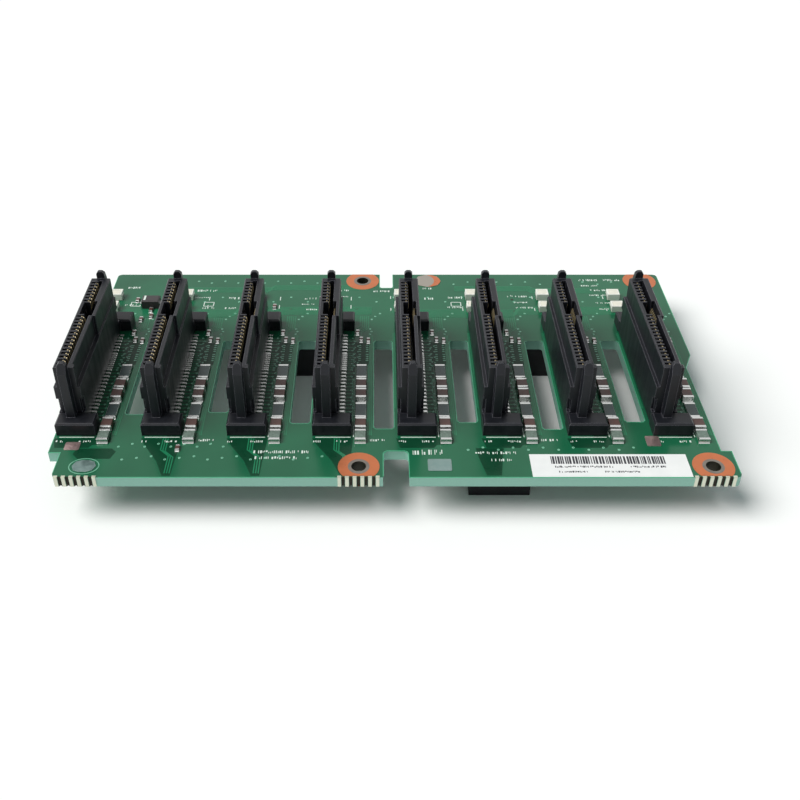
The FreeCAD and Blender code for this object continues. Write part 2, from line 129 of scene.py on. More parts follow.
def linear(code):
    """Linear red, green and blue of an sRGB hex value."""
    levels = [int(code[i : i + 2], 16) / 255 for i in (0, 2, 4)]
    return tuple(v / 12.92 if v <= 0.04045 else ((v + 0.055) / 1.055) ** 2.4 for v in levels)


def tint(label, words, code):
    """A colour property that starts from an sRGB hex value."""
    return FloatVectorProperty(name=label, description=words, subtype="COLOR", size=3, min=0, max=1,
                               default=linear(code))


def length(label, words, millimetres):
    """A length property that starts from a size in millimetres."""
    return FloatProperty(name=label, description=words, unit="LENGTH", precision=5, min=0,
                         default=millimetres * MM)


class BoardSettings(bpy.types.PropertyGroup):
    mask: tint("Solder mask", "Glossy green lacquer over bare laminate", "14583b")
    mask_copper: tint("Mask over copper", "The same lacquer where copper lies under it", "1c6646")
    # The lip's pale green is a painted highlight on the mask's rounded upper edge
    lip: tint("Mask lip", "Lacquer drawn thin over the board's upper edge", "58c496")
    laminate: tint("Laminate edge", "Sawn glass and epoxy at the board's edges", "92c2b2")
    copper: tint("Copper foil", "Bare foil round the mounting holes", "cf7d56")
    tin: tint("Tin", "Tinned lands, solder and chip ends", "d6d8d6")
    plating: tint("Edge plating", "Plated lands between the edge grooves", "d3d5c4")
    ink: tint("Legend ink", "Printed legend on the mask", "eaf6ee")
    track_width: length("Track width", "Width of a routed track", 0.24)
    track_height: length("Track height", "How far a track lifts the mask", 0.03)
    via_diameter: length("Via diameter", "Outside of a via's land", 0.62)


class ConnectorSettings(bpy.types.PropertyGroup):
    housing: tint("Housing", "Glass-filled black plastic", "121317")
    housing_light: tint("Housing flow marks", "Paler flow marks in the same plastic", "1e2026")
    edge: tint("Housing edges", "The same plastic where its rounded edges catch the light", "77767f")
    gold: tint("Contact gold", "Gold flash where the drive's edge rubs", "f0dcae")
    alloy: tint("Contact alloy", "Bare strip below the gold", "a39a98")
    contact_width: length("Contact width", "Width of a primary contact", 0.5)
    contact_thick: length("Contact thickness", "Thickness of the contact strip", 0.18)


class ChipSettings(bpy.types.PropertyGroup):
    glaze: tint("Resistor glaze", "Overglaze on a resistor's top", "39504f")
    alumina: tint("Alumina", "Fired body under the glaze", "cfd2cd")
    brown: tint("Capacitor body", "Fired brown ceramic", "5a3c36")
    ferrite: tint("Filter body", "Mottled grey-green ferrite", "5f6f66")
    lamp: tint("Lamp body", "White moulded lamp body", "f3f2ea")
    resin: tint("Lamp resin", "Clear resin in the lamp's cup", "f4f0e0")
    epoxy: tint("Diode body", "Moulded epoxy of the power diode", "2a2527")


class StageSettings(bpy.types.PropertyGroup):
    floor: tint("Floor", "Plain pale floor", "ffffff")
    floor_glow: FloatProperty(name="Floor glow", description="Light the floor adds where it is seen",
                              default=0.03, min=0)
    sky: FloatProperty(name="Sky level", description="Light that the surroundings give the object",
                       default=0.25, min=0)
    sun: FloatProperty(name="Lamp level", description="Strength of the soft lamp", default=3.1, min=0)
    sun_angle: FloatProperty(name="Light size", description="Angle across the soft lamp",
                             default=math.radians(42), subtype="ANGLE")
    lens: FloatProperty(name="Lens", description="Focal length of the camera", default=45.59,
                        subtype="DISTANCE_CAMERA", min=1)
    legend_seed: IntProperty(name="Legend seed", description="Seed for the plain legend marks",
                             default=7, min=0)


# ---- Shapes ---------------------------------------------------------------
def lattice_quads(stations, corners, looped):
    """Quads of a lattice whose rings close round: each joins two neighbouring corners of a ring with the
    same two of the next; looped joins the last ring to the first."""
    i = np.arange(stations if looped else stations - 1)[:, None]
    j = np.arange(corners)[None, :]
    after_i = (i + 1) % stations
    after_j = (j + 1) % corners
    quads = [i * corners + j, i * corners + after_j, after_i * corners + after_j, after_i * corners + j]
    return np.stack(quads, -1).reshape(-1, 4)


def make_piece(name, parts, finishes, round_angle=0):
    """One mesh from lattices of (copies, rings, corners, xyz) in millimetres over the board's front edge
    and top. Each part also says its finish and whether its ends are capped or looped. An angle rounds the
    shading wherever faces meet at less than it."""
    points, faces, kinds, count = [], [], [], 0
    for rings, kind, ends in parts:
        copies, stations, corners = rings.shape[:3]
        size = stations * corners
        first = count + np.arange(copies) * size
        quads = lattice_quads(stations, corners, ends == "looped")
        quads = (quads[None] + first[:, None, None]).reshape(-1, 4)
        faces += quads.tolist()
        kinds += [kind] * len(quads)
        if ends == "capped":
            ring = np.arange(corners)
            caps = [ring[::-1] + first[:, None], ring + size - corners + first[:, None]]
            faces += np.concatenate(caps).tolist()
            kinds += [kind] * (2 * copies)
        points.append(rings.reshape(-1, 3))
        count += copies * size
    mesh = bpy.data.meshes.new(name)
    mesh.from_pydata(((np.concatenate(points) + (0, FRONT, TOP)) * MM).tolist(), [], faces)
    mesh.polygons.foreach_set("material_index", np.array(kinds, np.int32))
    for material in finishes:
        mesh.materials.append(material)
    if round_angle:
        mesh.shade_smooth()
        mesh.set_sharp_from_angle(angle=math.radians(round_angle))
    mesh.update()
    made = bpy.data.objects.new(name, mesh)
    bpy.context.scene.collection.objects.link(made)
    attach(made, "root")
    return made


def raised(flat, height):
    """Flat points with their heights as a third coordinate."""
    return np.concatenate([flat, np.broadcast_to(height, flat.shape[:-1] + (1,))], -1)


def prism(outline, low, high):
    """One upright prism: the outline at its two heights."""
    return np.stack([raised(outline, low), raised(outline, high)])[None]


def blocks(spots, sizes, bevel=0.0):
    """Upright blocks: a rectangle carried from its base point up to the height, drawn in by the bevel
    over the last of its rise."""
    spots = np.atleast_2d(np.asarray(spots, float))
    sizes = np.broadcast_to(np.asarray(sizes, float), spots.shape)
    corner = np.array([(-0.5, -0.5), (0.5, -0.5), (0.5, 0.5), (-0.5, 0.5)])
    # Each ring's share of the height, how far it lies below that and how far it is drawn in
    levels = [(0, 0, 0), (1, bevel, 0), (1, 0, bevel)] if bevel else [(0, 0, 0), (1, 0, 0)]
    share, drop, inset = np.array(levels, float).T
    flat = corner * (sizes[:, None, None, :2] - 2 * inset[:, None, None]) + spots[:, None, None, :2]
    height = spots[:, None, 2] + sizes[:, None, 2] * share - drop
    return raised(flat, height[..., None, None])


def bars(paths, across, wide, thick):
    """Bars along flat paths: every section lies on the bisector of the two runs that meet there and is
    stretched by one over the cosine of half their turn."""
    paths = np.asarray(paths, float)
    across = np.asarray(across, float)
    runs = np.diff(paths, axis=1)
    runs = runs / np.linalg.norm(runs, axis=-1, keepdims=True)
    before = np.concatenate([runs[:, :1], runs], 1)
    after = np.concatenate([runs, runs[:, -1:]], 1)
    mean = before + after
    mean = mean / np.linalg.norm(mean, axis=-1, keepdims=True)
    stretch = 1 / np.clip((mean * after).sum(-1, keepdims=True), 0.4, 1)
    wide = np.broadcast_to(np.asarray(wide, float), paths.shape[1]).reshape(1, -1, 1)
    thick = np.broadcast_to(np.asarray(thick, float), paths.shape[1]).reshape(1, -1, 1)
    up = across * wide / 2
    out = np.cross(mean, across) * stretch * thick / 2
    return paths[:, :, None] + np.stack([up - out, up + out, out - up, -up - out], 2)


def lengthwise(spots, along, stations, edge):
    """Blocks lying one way: a rectangle with its corners cut by the edge, carried along that direction. A
    station says how far along it is, how wide, how low and how high."""
    spots = np.atleast_2d(np.asarray(spots, float))
    along = np.asarray(along, float)
    side = np.cross((0, 0, 1), along)
    reach, wide, low, high = np.asarray(stations, float).T
    cut = np.minimum(edge, np.minimum((high - low) * 0.45, wide * 0.45))
    half = wide / 2
    u = np.stack([half - cut, half, half, half - cut, cut - half, -half, -half, cut - half], 1)
    v = np.stack([low, low + cut, high - cut, high, high, high - cut, low + cut, low], 1)
    shape = along * reach[:, None, None] + side * u[..., None] + np.array((0, 0, 1)) * v[..., None]
    return spots[:, None, None, :] + shape[None]


def circle_of(sides):
    """The points of a unit circle."""
    angle = np.arange(sides) * 2 * math.pi / sides
    return np.stack([np.cos(angle), np.sin(angle)], 1)


def turned(spots, profile, sides):
    """A profile of (radius, height) turned about an upright axis."""
    spots = np.atleast_2d(np.asarray(spots, float))
    radius, height = np.asarray(profile, float).T
    flat = circle_of(sides) * radius[:, None, None]
    return spots[:, None, None, :] + raised(flat, height[:, None, None])


def squared(spots, stations, sides=16):
    """Rings that change from a rectangle to an ellipse: each station says how round it is, its half
    width, half depth and height; a rectangle's ring is the circle's divided by its larger coordinate."""
    spots = np.atleast_2d(np.asarray(spots, float))
    circle = circle_of(sides)
    square = circle / np.abs(circle).max(1, keepdims=True)
    roundness, half_x, half_y, height = np.asarray(stations, float).T[..., None, None]
    flat = (circle * roundness + square * (1 - roundness)) * np.concatenate([half_x, half_y], -1)
    return spots[:, None, None, :] + raised(flat, height)


def at_bays(offset, rows):
    """Points on the board at one offset from every bay's axis, for each row."""
    return np.array([(axis + offset, y, 0.0) for axis in AXES for y in rows])


def staggered(xs, y, step, turns):
    """Points along a row that steps back at each point and starts again after some turns."""
    return [(x, y + step * (i % turns)) for i, x in enumerate(xs)]


# ---- Materials ------------------------------------------------------------
class Wear(NamedTuple):
    """How a finish varies: patches of colour and roughness, and a grain in relief. The grain is drawn
    coarser than the real one, so that it shows. Stretch scales the patches along x, y and z."""

    patch_mm: float
    roughness: float
    spread: float
    grain_mm: float
    relief: float
    metallic: float = 0.0
    specular: float = 0.5
    stretch: tuple = (1, 1, 1)


def add(tree, kind, links=None, **settings):
    """Adds a node with its settings; links gives each input a value or a socket."""
    node = tree.nodes.new(kind)
    for key, value in settings.items():
        setattr(node, key, value)
    for key, value in (links or {}).items():
        if isinstance(value, bpy.types.NodeSocket):
            tree.links.new(value, node.inputs[key])
        else:
            node.inputs[key].default_value = value
    return node


def rgba(colour):
    """The colour with a full alpha."""
    return (*colour, 1.0)


def begin(name, roughness, metallic=0.0, specular=0.5):
    """A named Principled material, its tree and its shader."""
    material = bpy.data.materials.new(name)
    material.use_nodes = True
    tree = material.node_tree
    shader = tree.nodes["Principled BSDF"]
    shader.inputs["Roughness"].default_value = roughness
    shader.inputs["Metallic"].default_value = metallic
    shader.inputs["Specular IOR Level"].default_value = specular
    return material, tree, shader


def connect(tree, node, sockets):
    """Links sockets to a node's inputs."""
    for key, socket in sockets.items():
        tree.links.new(socket, node.inputs[key])


def worn(name, dark, light, wear):
    """A finish whose colour and roughness wander over patches, with a fine grain in relief."""
    material, tree, shader = begin(name, wear.roughness, wear.metallic, wear.specular)
    place = add(tree, "ShaderNodeTexCoord").outputs["Object"]
    drawn = add(tree, "ShaderNodeMapping", {"Vector": place, "Scale": wear.stretch}).outputs["Vector"]
    patch = add(tree, "ShaderNodeTexNoise", {"Vector": drawn, "Scale": 1 / (wear.patch_mm * MM),
                                             "Detail": 3.0})
    colour = add(tree, "ShaderNodeMix", {0: patch.outputs["Fac"], 6: rgba(dark), 7: rgba(light)},
                 data_type="RGBA")
    rough = add(tree, "ShaderNodeMapRange", {
        "Value": patch.outputs["Fac"], "From Min": 0.3, "From Max": 0.7,
        "To Min": wear.roughness - wear.spread, "To Max": wear.roughness + wear.spread})
    grain = add(tree, "ShaderNodeTexNoise", {"Vector": place, "Scale": 1 / (wear.grain_mm * MM),
                                             "Detail": 2.0})
    bump = add(tree, "ShaderNodeBump", {"Height": grain.outputs["Fac"], "Strength": wear.relief,
                                        "Distance": wear.grain_mm * MM * 0.2})
    connect(tree, shader, {"Base Color": colour.outputs[2], "Roughness": rough.outputs["Result"],
                           "Normal": bump.outputs["Normal"]})
    return material


def shade(colour, share):
    """The colour times a share."""
    return tuple(v * share for v in colour)


def laminated_board(name):
    """Green solder mask, curtain-coated and glossy, on FR4 whose routed edges are pale, matt and show the
    glass layers as faint lines."""
    settings = bpy.context.scene.backplane_board
    pour_mm, layer_mm, fibre_mm, peel_mm = 14, 0.3, 0.5, 1.6
    material, tree, shader = begin(name, roughness=0.24, specular=0.32)
    place = add(tree, "ShaderNodeTexCoord").outputs["Object"]
    normal = add(tree, "ShaderNodeNewGeometry").outputs["True Normal"]
    steep = add(tree, "ShaderNodeSeparateXYZ", {"Vector": normal}).outputs["Z"]
    flat = add(tree, "ShaderNodeMath", {0: steep}, operation="ABSOLUTE").outputs[0]
    face = add(tree, "ShaderNodeMath", {0: flat, 1: 0.5}, operation="GREATER_THAN").outputs[0]
    pour = add(tree, "ShaderNodeTexNoise", {"Vector": place, "Scale": 1 / (pour_mm * MM), "Detail": 2.0})
    planes = add(tree, "ShaderNodeMapRange", {"Value": pour.outputs["Fac"], "From Min": 0.2,
                                              "From Max": 0.6})
    mask = add(tree, "ShaderNodeMix", {0: planes.outputs["Result"], 6: rgba(settings.mask),
                                       7: rgba(settings.mask_copper)}, data_type="RGBA")
    height = add(tree, "ShaderNodeSeparateXYZ", {"Vector": place}).outputs["Z"]
    layers = add(tree, "ShaderNodeMath", {0: height, 1: 2 * math.pi / (layer_mm * MM)},
                 operation="MULTIPLY")
    wave = add(tree, "ShaderNodeMath", {0: layers.outputs[0]}, operation="SINE")
    fibre = add(tree, "ShaderNodeTexNoise", {"Vector": place, "Scale": 1 / (fibre_mm * MM), "Detail": 2.0})
    line = add(tree, "ShaderNodeMapRange", {"Value": wave.outputs[0], "From Min": -1.0, "To Min": 0.0,
                                            "To Max": 0.35})
    grain = add(tree, "ShaderNodeMath", {0: fibre.outputs["Fac"], 1: line.outputs["Result"]},
                operation="MULTIPLY")
    edge = add(tree, "ShaderNodeMix", {0: grain.outputs[0], 6: rgba(settings.laminate),
                                       7: rgba(shade(settings.laminate, 0.45))}, data_type="RGBA")
    colour = add(tree, "ShaderNodeMix", {0: face, 6: edge.outputs[2], 7: mask.outputs[2]},
                 data_type="RGBA")
    rough = add(tree, "ShaderNodeMapRange", {"Value": face, "To Min": 0.55, "To Max": 0.2})
    orange_peel = add(tree, "ShaderNodeTexNoise", {"Vector": place, "Scale": 1 / (peel_mm * MM),
                                                   "Detail": 1.0})
    bump = add(tree, "ShaderNodeBump", {"Height": orange_peel.outputs["Fac"], "Strength": 0.12,
                                        "Distance": 0.05 * MM})
    connect(tree, shader, {"Base Color": colour.outputs[2], "Roughness": rough.outputs["Result"],
                           "Normal": bump.outputs["Normal"]})
    return material


def moulded_housing(name):
    """Liquid-crystal polymer with glass, injection moulded: satin black with upright flow marks, and edges
    rounded by the mould that catch the light."""
    settings = bpy.context.scene.backplane_connector
    edge_radius_mm = 0.18
    upright = (1, 1, 0.12)
    material = worn(name, settings.housing, settings.housing_light,
                    Wear(1.3, 0.36, 0.07, 0.35, 0.15, specular=0.28, stretch=upright))
    tree = material.node_tree
    shader = tree.nodes["Principled BSDF"]
    bump = shader.inputs["Normal"].links[0].from_node
    marks = shader.inputs["Base Color"].links[0].from_socket
    soft = add(tree, "ShaderNodeBevel", {"Radius": edge_radius_mm * MM}, samples=4)
    flat = add(tree, "ShaderNodeNewGeometry").outputs["True Normal"]
    agree = add(tree, "ShaderNodeVectorMath", {0: soft.outputs["Normal"], 1: flat},
                operation="DOT_PRODUCT")
    rim = add(tree, "ShaderNodeMapRange", {"Value": agree.outputs["Value"], "From Min": 0.99,
                                           "From Max": 0.75})
    colour = add(tree, "ShaderNodeMix", {0: rim.outputs["Result"], 6: marks, 7: rgba(settings.edge)},
                 data_type="RGBA")
    connect(tree, bump, {"Normal": soft.outputs["Normal"]})
    connect(tree, shader, {"Base Color": colour.outputs[2]})
    return material


def levelled_pads(name):
    """Hot-air levelled tin on the bare lands: dull, pooled grey metal, pinker on the two square test lands
    that flux has stained and warmer on the rear land."""
    square_y, square_reach, rear_y = FRONT + 10.3, 2.6, 0.0
    material = worn(name, linear("74918d"), linear("98aca8"), Wear(1.4, 0.36, 0.08, 0.5, 0.3, 0.9))
    tree = material.node_tree
    shader = tree.nodes["Principled BSDF"]
    metal = shader.inputs["Base Color"].links[0].from_socket
    place = add(tree, "ShaderNodeTexCoord").outputs["Object"]
    back = add(tree, "ShaderNodeSeparateXYZ", {"Vector": place}).outputs["Y"]
    square = add(tree, "ShaderNodeMath", {0: back, 1: square_y * MM, 2: square_reach * MM},
                 operation="COMPARE")
    stained = add(tree, "ShaderNodeMix", {0: square.outputs[0], 6: metal, 7: rgba(linear("c3a9a6"))},
                  data_type="RGBA")
    rear = add(tree, "ShaderNodeMath", {0: back, 1: rear_y * MM}, operation="GREATER_THAN")
    colour = add(tree, "ShaderNodeMix", {0: rear.outputs[0], 6: stained.outputs[2],
                                         7: rgba(linear("a29c92"))}, data_type="RGBA")
    connect(tree, shader, {"Base Color": colour.outputs[2]})
    return material


def plated_strip(name):
    """Copper-alloy contact strip, stamped: gold flash over nickel near the top, tin at the tails."""
    settings = bpy.context.scene.backplane_connector
    tin = bpy.context.scene.backplane_board.tin
    gold_from, gold_full = TOP + 9.0, TOP + 10.5
    tin_to, bare_from = TOP + 0.8, TOP + 1.6
    marks_mm = 0.4
    material, tree, shader = begin(name, roughness=0.34, metallic=0.7)
    place = add(tree, "ShaderNodeTexCoord").outputs["Object"]
    height = add(tree, "ShaderNodeSeparateXYZ", {"Vector": place}).outputs["Z"]
    gilt = add(tree, "ShaderNodeMapRange", {"Value": height, "From Min": gold_from * MM,
                                            "From Max": gold_full * MM})
    dipped = add(tree, "ShaderNodeMapRange", {"Value": height, "From Min": tin_to * MM,
                                              "From Max": bare_from * MM})
    lower = add(tree, "ShaderNodeMix", {0: dipped.outputs["Result"], 6: rgba(tin),
                                        7: rgba(settings.alloy)}, data_type="RGBA")
    colour = add(tree, "ShaderNodeMix", {0: gilt.outputs["Result"], 6: lower.outputs[2],
                                         7: rgba(settings.gold)}, data_type="RGBA")
    marks = add(tree, "ShaderNodeTexNoise", {"Vector": place, "Scale": 1 / (marks_mm * MM),
                                             "Detail": 2.0})
    rough = add(tree, "ShaderNodeMapRange", {"Value": marks.outputs["Fac"], "To Min": 0.2,
                                             "To Max": 0.42})
    connect(tree, shader, {"Base Color": colour.outputs[2], "Roughness": rough.outputs["Result"]})
    return material


def glazed_resistor(name):
    """Thick-film resistor: printed overglaze on top, fired white alumina at the sides."""
    settings = bpy.context.scene.backplane_chip
    cloud_mm = 0.7
    material, tree, shader = begin(name, roughness=0.3)
    place = add(tree, "ShaderNodeTexCoord").outputs["Object"]
    normal = add(tree, "ShaderNodeNewGeometry").outputs["True Normal"]
    up = add(tree, "ShaderNodeSeparateXYZ", {"Vector": normal}).outputs["Z"]
    top = add(tree, "ShaderNodeMath", {0: up, 1: 0.9}, operation="GREATER_THAN").outputs[0]
    cloud = add(tree, "ShaderNodeTexNoise", {"Vector": place, "Scale": 1 / (cloud_mm * MM), "Detail": 2.0})
    glaze = add(tree, "ShaderNodeMix", {0: cloud.outputs["Fac"], 6: rgba(shade(settings.glaze, 0.75)),
                                        7: rgba(shade(settings.glaze, 1.25))}, data_type="RGBA")
    colour = add(tree, "ShaderNodeMix", {0: top, 6: rgba(settings.alumina), 7: glaze.outputs[2]},
                 data_type="RGBA")
    rough = add(tree, "ShaderNodeMapRange", {"Value": top, "To Min": 0.6, "To Max": 0.25})
    connect(tree, shader, {"Base Color": colour.outputs[2], "Roughness": rough.outputs["Result"]})
    return material


# Finishes with a function of their own: the material's name and what makes it
MADE_FINISHES = {
    "board": ("solder_mask_on_laminate", laminated_board),
    "pads": ("levelled_tin_pads", levelled_pads),
    "housing": ("moulded_lcp", moulded_housing),
    "contact": ("stamped_contact_strip", plated_strip),
    "resistor": ("glazed_alumina", glazed_resistor),
}

# Finishes that only wear: the material's name, one of the settings' colours with the shares of it that
# the dark and the light patches take, or else no colour and two sRGB hex values, and the wear
WORN_FINISHES = {
    # Lacquer over foil: a paler, yellower green that shows where the tracks run
    "track": ("solder_mask_over_copper", "board.mask_copper", 1.35, 1.8,
              Wear(6, 0.24, 0.04, 1.2, 0.1, specular=0.32)),
    # Painted shade and reflection: the lacquer darkened where the receptacles shade it and are mirrored in
    # it, darker than over a plane
    "bare": ("solder_mask_over_laminate", "board.mask", 0.42, 0.62,
             Wear(3, 0.3, 0.04, 1.0, 0.1, specular=0.16)),
    # Lacquer thinned by the crown of each via, so the tinned land shows through
    "via": ("solder_mask_over_vias", None, "4f9a7a", "8fcbb0",
            Wear(1, 0.3, 0.05, 0.6, 0.1, specular=0.4)),
    # Painted highlight: the rolled upper edge of the lacquer painted far paler than the mask, as the light
    # that it catches
    "lip": ("solder_mask_lip", "board.lip", 0.7, 1, Wear(3, 0.2, 0.04, 0.6, 0.1)),
    # Bare rolled foil: warm metal, slightly tarnished in patches
    "copper": ("bare_copper_foil", "board.copper", 0.82, 1, Wear(1.8, 0.34, 0.08, 0.25, 0.15, 1.0)),
    # Reflowed tin-silver solder: bright, softly rippled metal
    "tin": ("reflowed_tin", "board.tin", 0.8, 1, Wear(0.9, 0.26, 0.08, 0.3, 0.25, 1.0)),
    # Hot-air levelled tin on the large lands: dull, pooled grey metal
    "land": ("levelled_tin_land", None, "6f6a63", "968f86", Wear(1.4, 0.36, 0.08, 0.5, 0.3, 1.0)),
    # Painted shade down in the grooves and holes, where no light reaches
    "groove": ("oxidised_plating", None, "1c1b14", "3a382c", Wear(0.6, 0.5, 0.06, 0.3, 0.2, 0.6)),
    # Electroless plating on the routed edge: pale yellowish metal
    "plating": ("edge_plating", "board.plating", 0.85, 1, Wear(0.8, 0.38, 0.06, 0.3, 0.2, 1.0)),
    # Screen-printed epoxy ink: matt, slightly uneven, nearly white
    "ink": ("legend_ink", "board.ink", 0.82, 1, Wear(0.6, 0.6, 0.08, 0.2, 0.2)),
    # Glass-filled nylon, injection moulded: the same black as the housings, a little rougher
    "nylon": ("moulded_nylon", "connector.housing", 0.7, 1,
              Wear(2, 0.5, 0.06, 0.4, 0.25, specular=0.3)),
    # Barium titanate, fired: smooth matt brown with faint clouds
    "capacitor": ("fired_brown_ceramic", "chip.brown", 0.75, 1.2, Wear(1.5, 0.42, 0.06, 0.3, 0.1)),
    # Sintered ferrite: grey-green, speckled grain
    "filter": ("sintered_ferrite", "chip.ferrite", 0.4, 1.9, Wear(0.45, 0.4, 0.08, 0.3, 0.3)),
    # White reflector plastic, injection moulded: clean and satin
    "lamp": ("moulded_white_reflector", "chip.lamp", 0.94, 1, Wear(1.2, 0.4, 0.05, 0.3, 0.08)),
    # Cast clear resin over the lamp's die: glossy, faintly yellow
    "resin": ("cast_lamp_resin", "chip.resin", 0.85, 1, Wear(0.7, 0.12, 0.04, 0.5, 0.05)),
    # Transfer-moulded epoxy: charcoal, fine matt texture
    "epoxy": ("moulded_epoxy", "chip.epoxy", 0.8, 1.4, Wear(0.8, 0.48, 0.06, 0.2, 0.3)),
    # Coated label stock: smooth white with a trace of fibre
    "paper": ("coated_label_paper", None, "eceeee", "fbfbfb", Wear(2.5, 0.45, 0.05, 0.25, 0.08)),
    # Thermal print: flat near-black
    "print": ("thermal_print", None, "26262c", "3c3c44", Wear(0.5, 0.5, 0.05, 0.2, 0.05)),
}


def worn_finish(name, colour, dark, light, wear):
    """A finish from the table, with its colours worked out."""
    if colour is None:
        return worn(name, linear(dark), linear(light), wear)
    group, field = colour.split(".")
    base = getattr(getattr(bpy.context.scene, "backplane_" + group), field)
    return worn(name, shade(base, dark), shade(base, light), wear)


def finish(key):
    """The material for one finish, made the first time that it is asked for."""
    if key in MADE_FINISHES:
        name, make = MADE_FINISHES[key]
        return bpy.data.materials.get(name) or make(name)
    row = WORN_FINISHES[key]
    return bpy.data.materials.get(row[0]) or worn_finish(*row)


def dress(node, key):
    """Gives a CAD node its finish."""
    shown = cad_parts[node]
    shown.data.materials.clear()
    shown.data.materials.append(finish(key))


# ---- The board's own pieces -----------------------------------------------
class BACKPLANE_OT_board(bpy.types.Operator):
    """Finishes the board, its edge plating and tinned pads"""

    bl_idname = "backplane.board"
    bl_label = "Board finishes"

    def execute(self, context):
        for node, key in (("circuit_board", "board"), ("edge_plating", "plating"), ("tinned_pads", "pads")):
            dress(node, key)
        return {"FINISHED"}


class BACKPLANE_OT_grooves(bpy.types.Operator):
    """Lines the edge grooves with painted shade: a half ring between two radii, carried up through the
    board
    """

    bl_idname = "backplane.grooves"
    bl_label = "Edge grooves"

    def execute(self, context):
        outer_radius, inner_radius, shy = 0.36, 0.26, 0.01
        land_y, land_size = 0.24, (0.78, 0.52, 0.06)
        centres = np.array(GROOVE_GROUPS)[:, None]
        grooves = (centres + (np.arange(GROOVE_COUNT) - (GROOVE_COUNT - 1) / 2) * GROOVE_PITCH).ravel()
        lands = (centres + (np.arange(GROOVE_COUNT + 1) - GROOVE_COUNT / 2) * GROOVE_PITCH).ravel()
        turn = np.linspace(0, math.pi, 7)
        half = np.stack([np.cos(turn), np.sin(turn)], 1)
        outline = np.concatenate([half * outer_radius, half[::-1] * inner_radius])
        outlines = outline + np.column_stack([grooves, np.zeros(len(grooves))])[:, None]
        rings = np.stack([raised(outlines, shy - THICK), raised(outlines, -shy)], 1)
        tops = blocks([(x, land_y, 0.0) for x in lands], land_size)
        make_piece("groove_linings", [(rings, 0, "capped"), (tops, 1, "capped")],
                   [finish("groove"), finish("plating")])
        return {"FINISHED"}


# The lip runs along these edges: front left, middle notch and front right, left side, right side with
# its slant, and rear notch
LIP_INSET = 0.09
LIP_LEFT, LIP_RIGHT = LEFT + LIP_INSET, RIGHT - LIP_INSET
REAR_NOTCH = DEPTH - 6.7
EDGE_LINES = (
    ((-58.2, 0.04), (-11.1, 0.04)),
    ((-1.46, 0.3), (-1.46, 7.3), (-0.7, 8.06), (3.0, 8.06), (3.76, 7.3), (3.76, 0.04), (60.1, 0.04)),
    ((-67.5, 1.2), (-67.5, 7.54), (LIP_LEFT, 7.54), (LIP_LEFT, 77.0)),
    ((LIP_RIGHT, 77.2), (LIP_RIGHT, 42.0), (67.8, 37.0), (67.8, 7.95), (LIP_RIGHT, 7.95), (LIP_RIGHT, 1.1)),
    ((-2.02, DEPTH - 0.1), (-2.02, REAR_NOTCH), (1.4, REAR_NOTCH), (1.4, DEPTH - 0.1)),
)


def vent_line(axis, front):
    """The line round one vent, with its corners cut, a little outside its front and back."""
    x0, x1 = (axis + side for side in VENT_SIDES)
    y0, y1, out, cut = front, VENT_BACK, 0.04, VENT_CORNER
    return ((x0 + cut, y1 + out), (x0, y1 - cut), (x0, y0 + cut), (x0 + cut, y0 - out),
            (x1 - cut, y0 - out), (x1, y0 + cut), (x1, y1 - cut), (x1 - cut, y1 + out))


class BACKPLANE_OT_edge(bpy.types.Operator):
    """Lays the mask's rolled lip, coloured as a painted highlight, along the edges, round the notches and
    round the vents
    """

    bl_idname = "backplane.edge"
    bl_label = "Mask lip"

    def execute(self, context):
        middle, tall, wide = -0.03, 0.12, 0.14
        lines = EDGE_LINES + tuple(vent_line(*vent) for vent in zip(AXES, VENT_FRONTS))
        parts = [(bars(raised(np.array(line), middle)[None], (0, 0, 1), tall, wide), 0, "capped")
                 for line in lines]
        make_piece("mask_lip", parts, [finish("lip")])
        return {"FINISHED"}


# Darker mask as painted shade and reflection, from a bay's axis: a funnel before some receptacles and an
# apron before the others as their painted reflection and shadow, and a strip beside each as the painted
# shade that it casts; then two more places of painted shade and reflection on the board
TRACK_LEVEL = 0.012
FUNNEL_BAYS = (1, 2, 3)
FUNNEL = np.array([(-2.9, 12.0), (5.7, 12.0), (5.5, 9.2), (5.2, 4.9), (5.0, 0.5), (3.3, 0.5), (1.5, 4.9),
                   (-1.6, 9.6)])
APRON = np.array([(-3.2, 12.0), (8.8, 12.0), (8.6, 10.2), (5.2, 9.9), (4.6, 9.0), (-2.4, 9.0)])
STRIP = np.array([(2.4, 12.0), (5.7, 12.0), (5.7, 37.4), (8.9, 38.2), (8.9, 46.8), (2.4, 47.6)])
PAINTED_SHADE_PLACES = (
    np.array([(-64.4, 8.8), (-57.2, 8.8), (-56.2, 7.8), (-57.0, 5.6), (-63.6, 5.6), (-64.9, 7.0)]),
    np.array([(17.6, 8.9), (23.4, 8.9), (23.0, 7.0), (22.2, 0.6), (19.2, 0.6), (18.0, 6.0)]),
)


def route(points):
    """One track's points on the board."""
    return [(x, y, TRACK_LEVEL) for x, y in points]


def fan(count, pitch, start, end, jog):
    """A bundle of parallel tracks that run straight to the jog, slant across by as much as their ends lie
    apart, and run straight on; the slants are staggered, so that their gaps stay even."""
    (x0, y0), (x1, y1) = start, end
    lines = []
    for d in np.arange(count) * pitch:
        late = d * 0.4
        if abs(x1 - x0) > abs(y1 - y0):
            half = abs(y1 - y0) / 2
            lines.append(route([(x0, y0 + d), (jog - half + late, y0 + d), (jog + half + late, y1 + d),
                                (x1, y1 + d)]))
        else:
            half = abs(x1 - x0) / 2
            lines.append(route([(x0 + d, y0), (x0 + d, jog - half - late), (x1 + d, jog + half - late),
                                (x1 + d, y1)]))
    return lines


def contact_stubs():
    """Short tracks from the contact tails to their vias, every second one longer."""
    stubs = []
    for axis in AXES:
        for start, end, row in ((3.9, 4.85, PRIMARY_ROW), (4.1, 4.9, SECOND_ROW)):
            stubs += [route([(axis + start, y), (axis + end + 0.5 * (i % 2), y)])
                      for i, y in enumerate(row)]
    return stubs


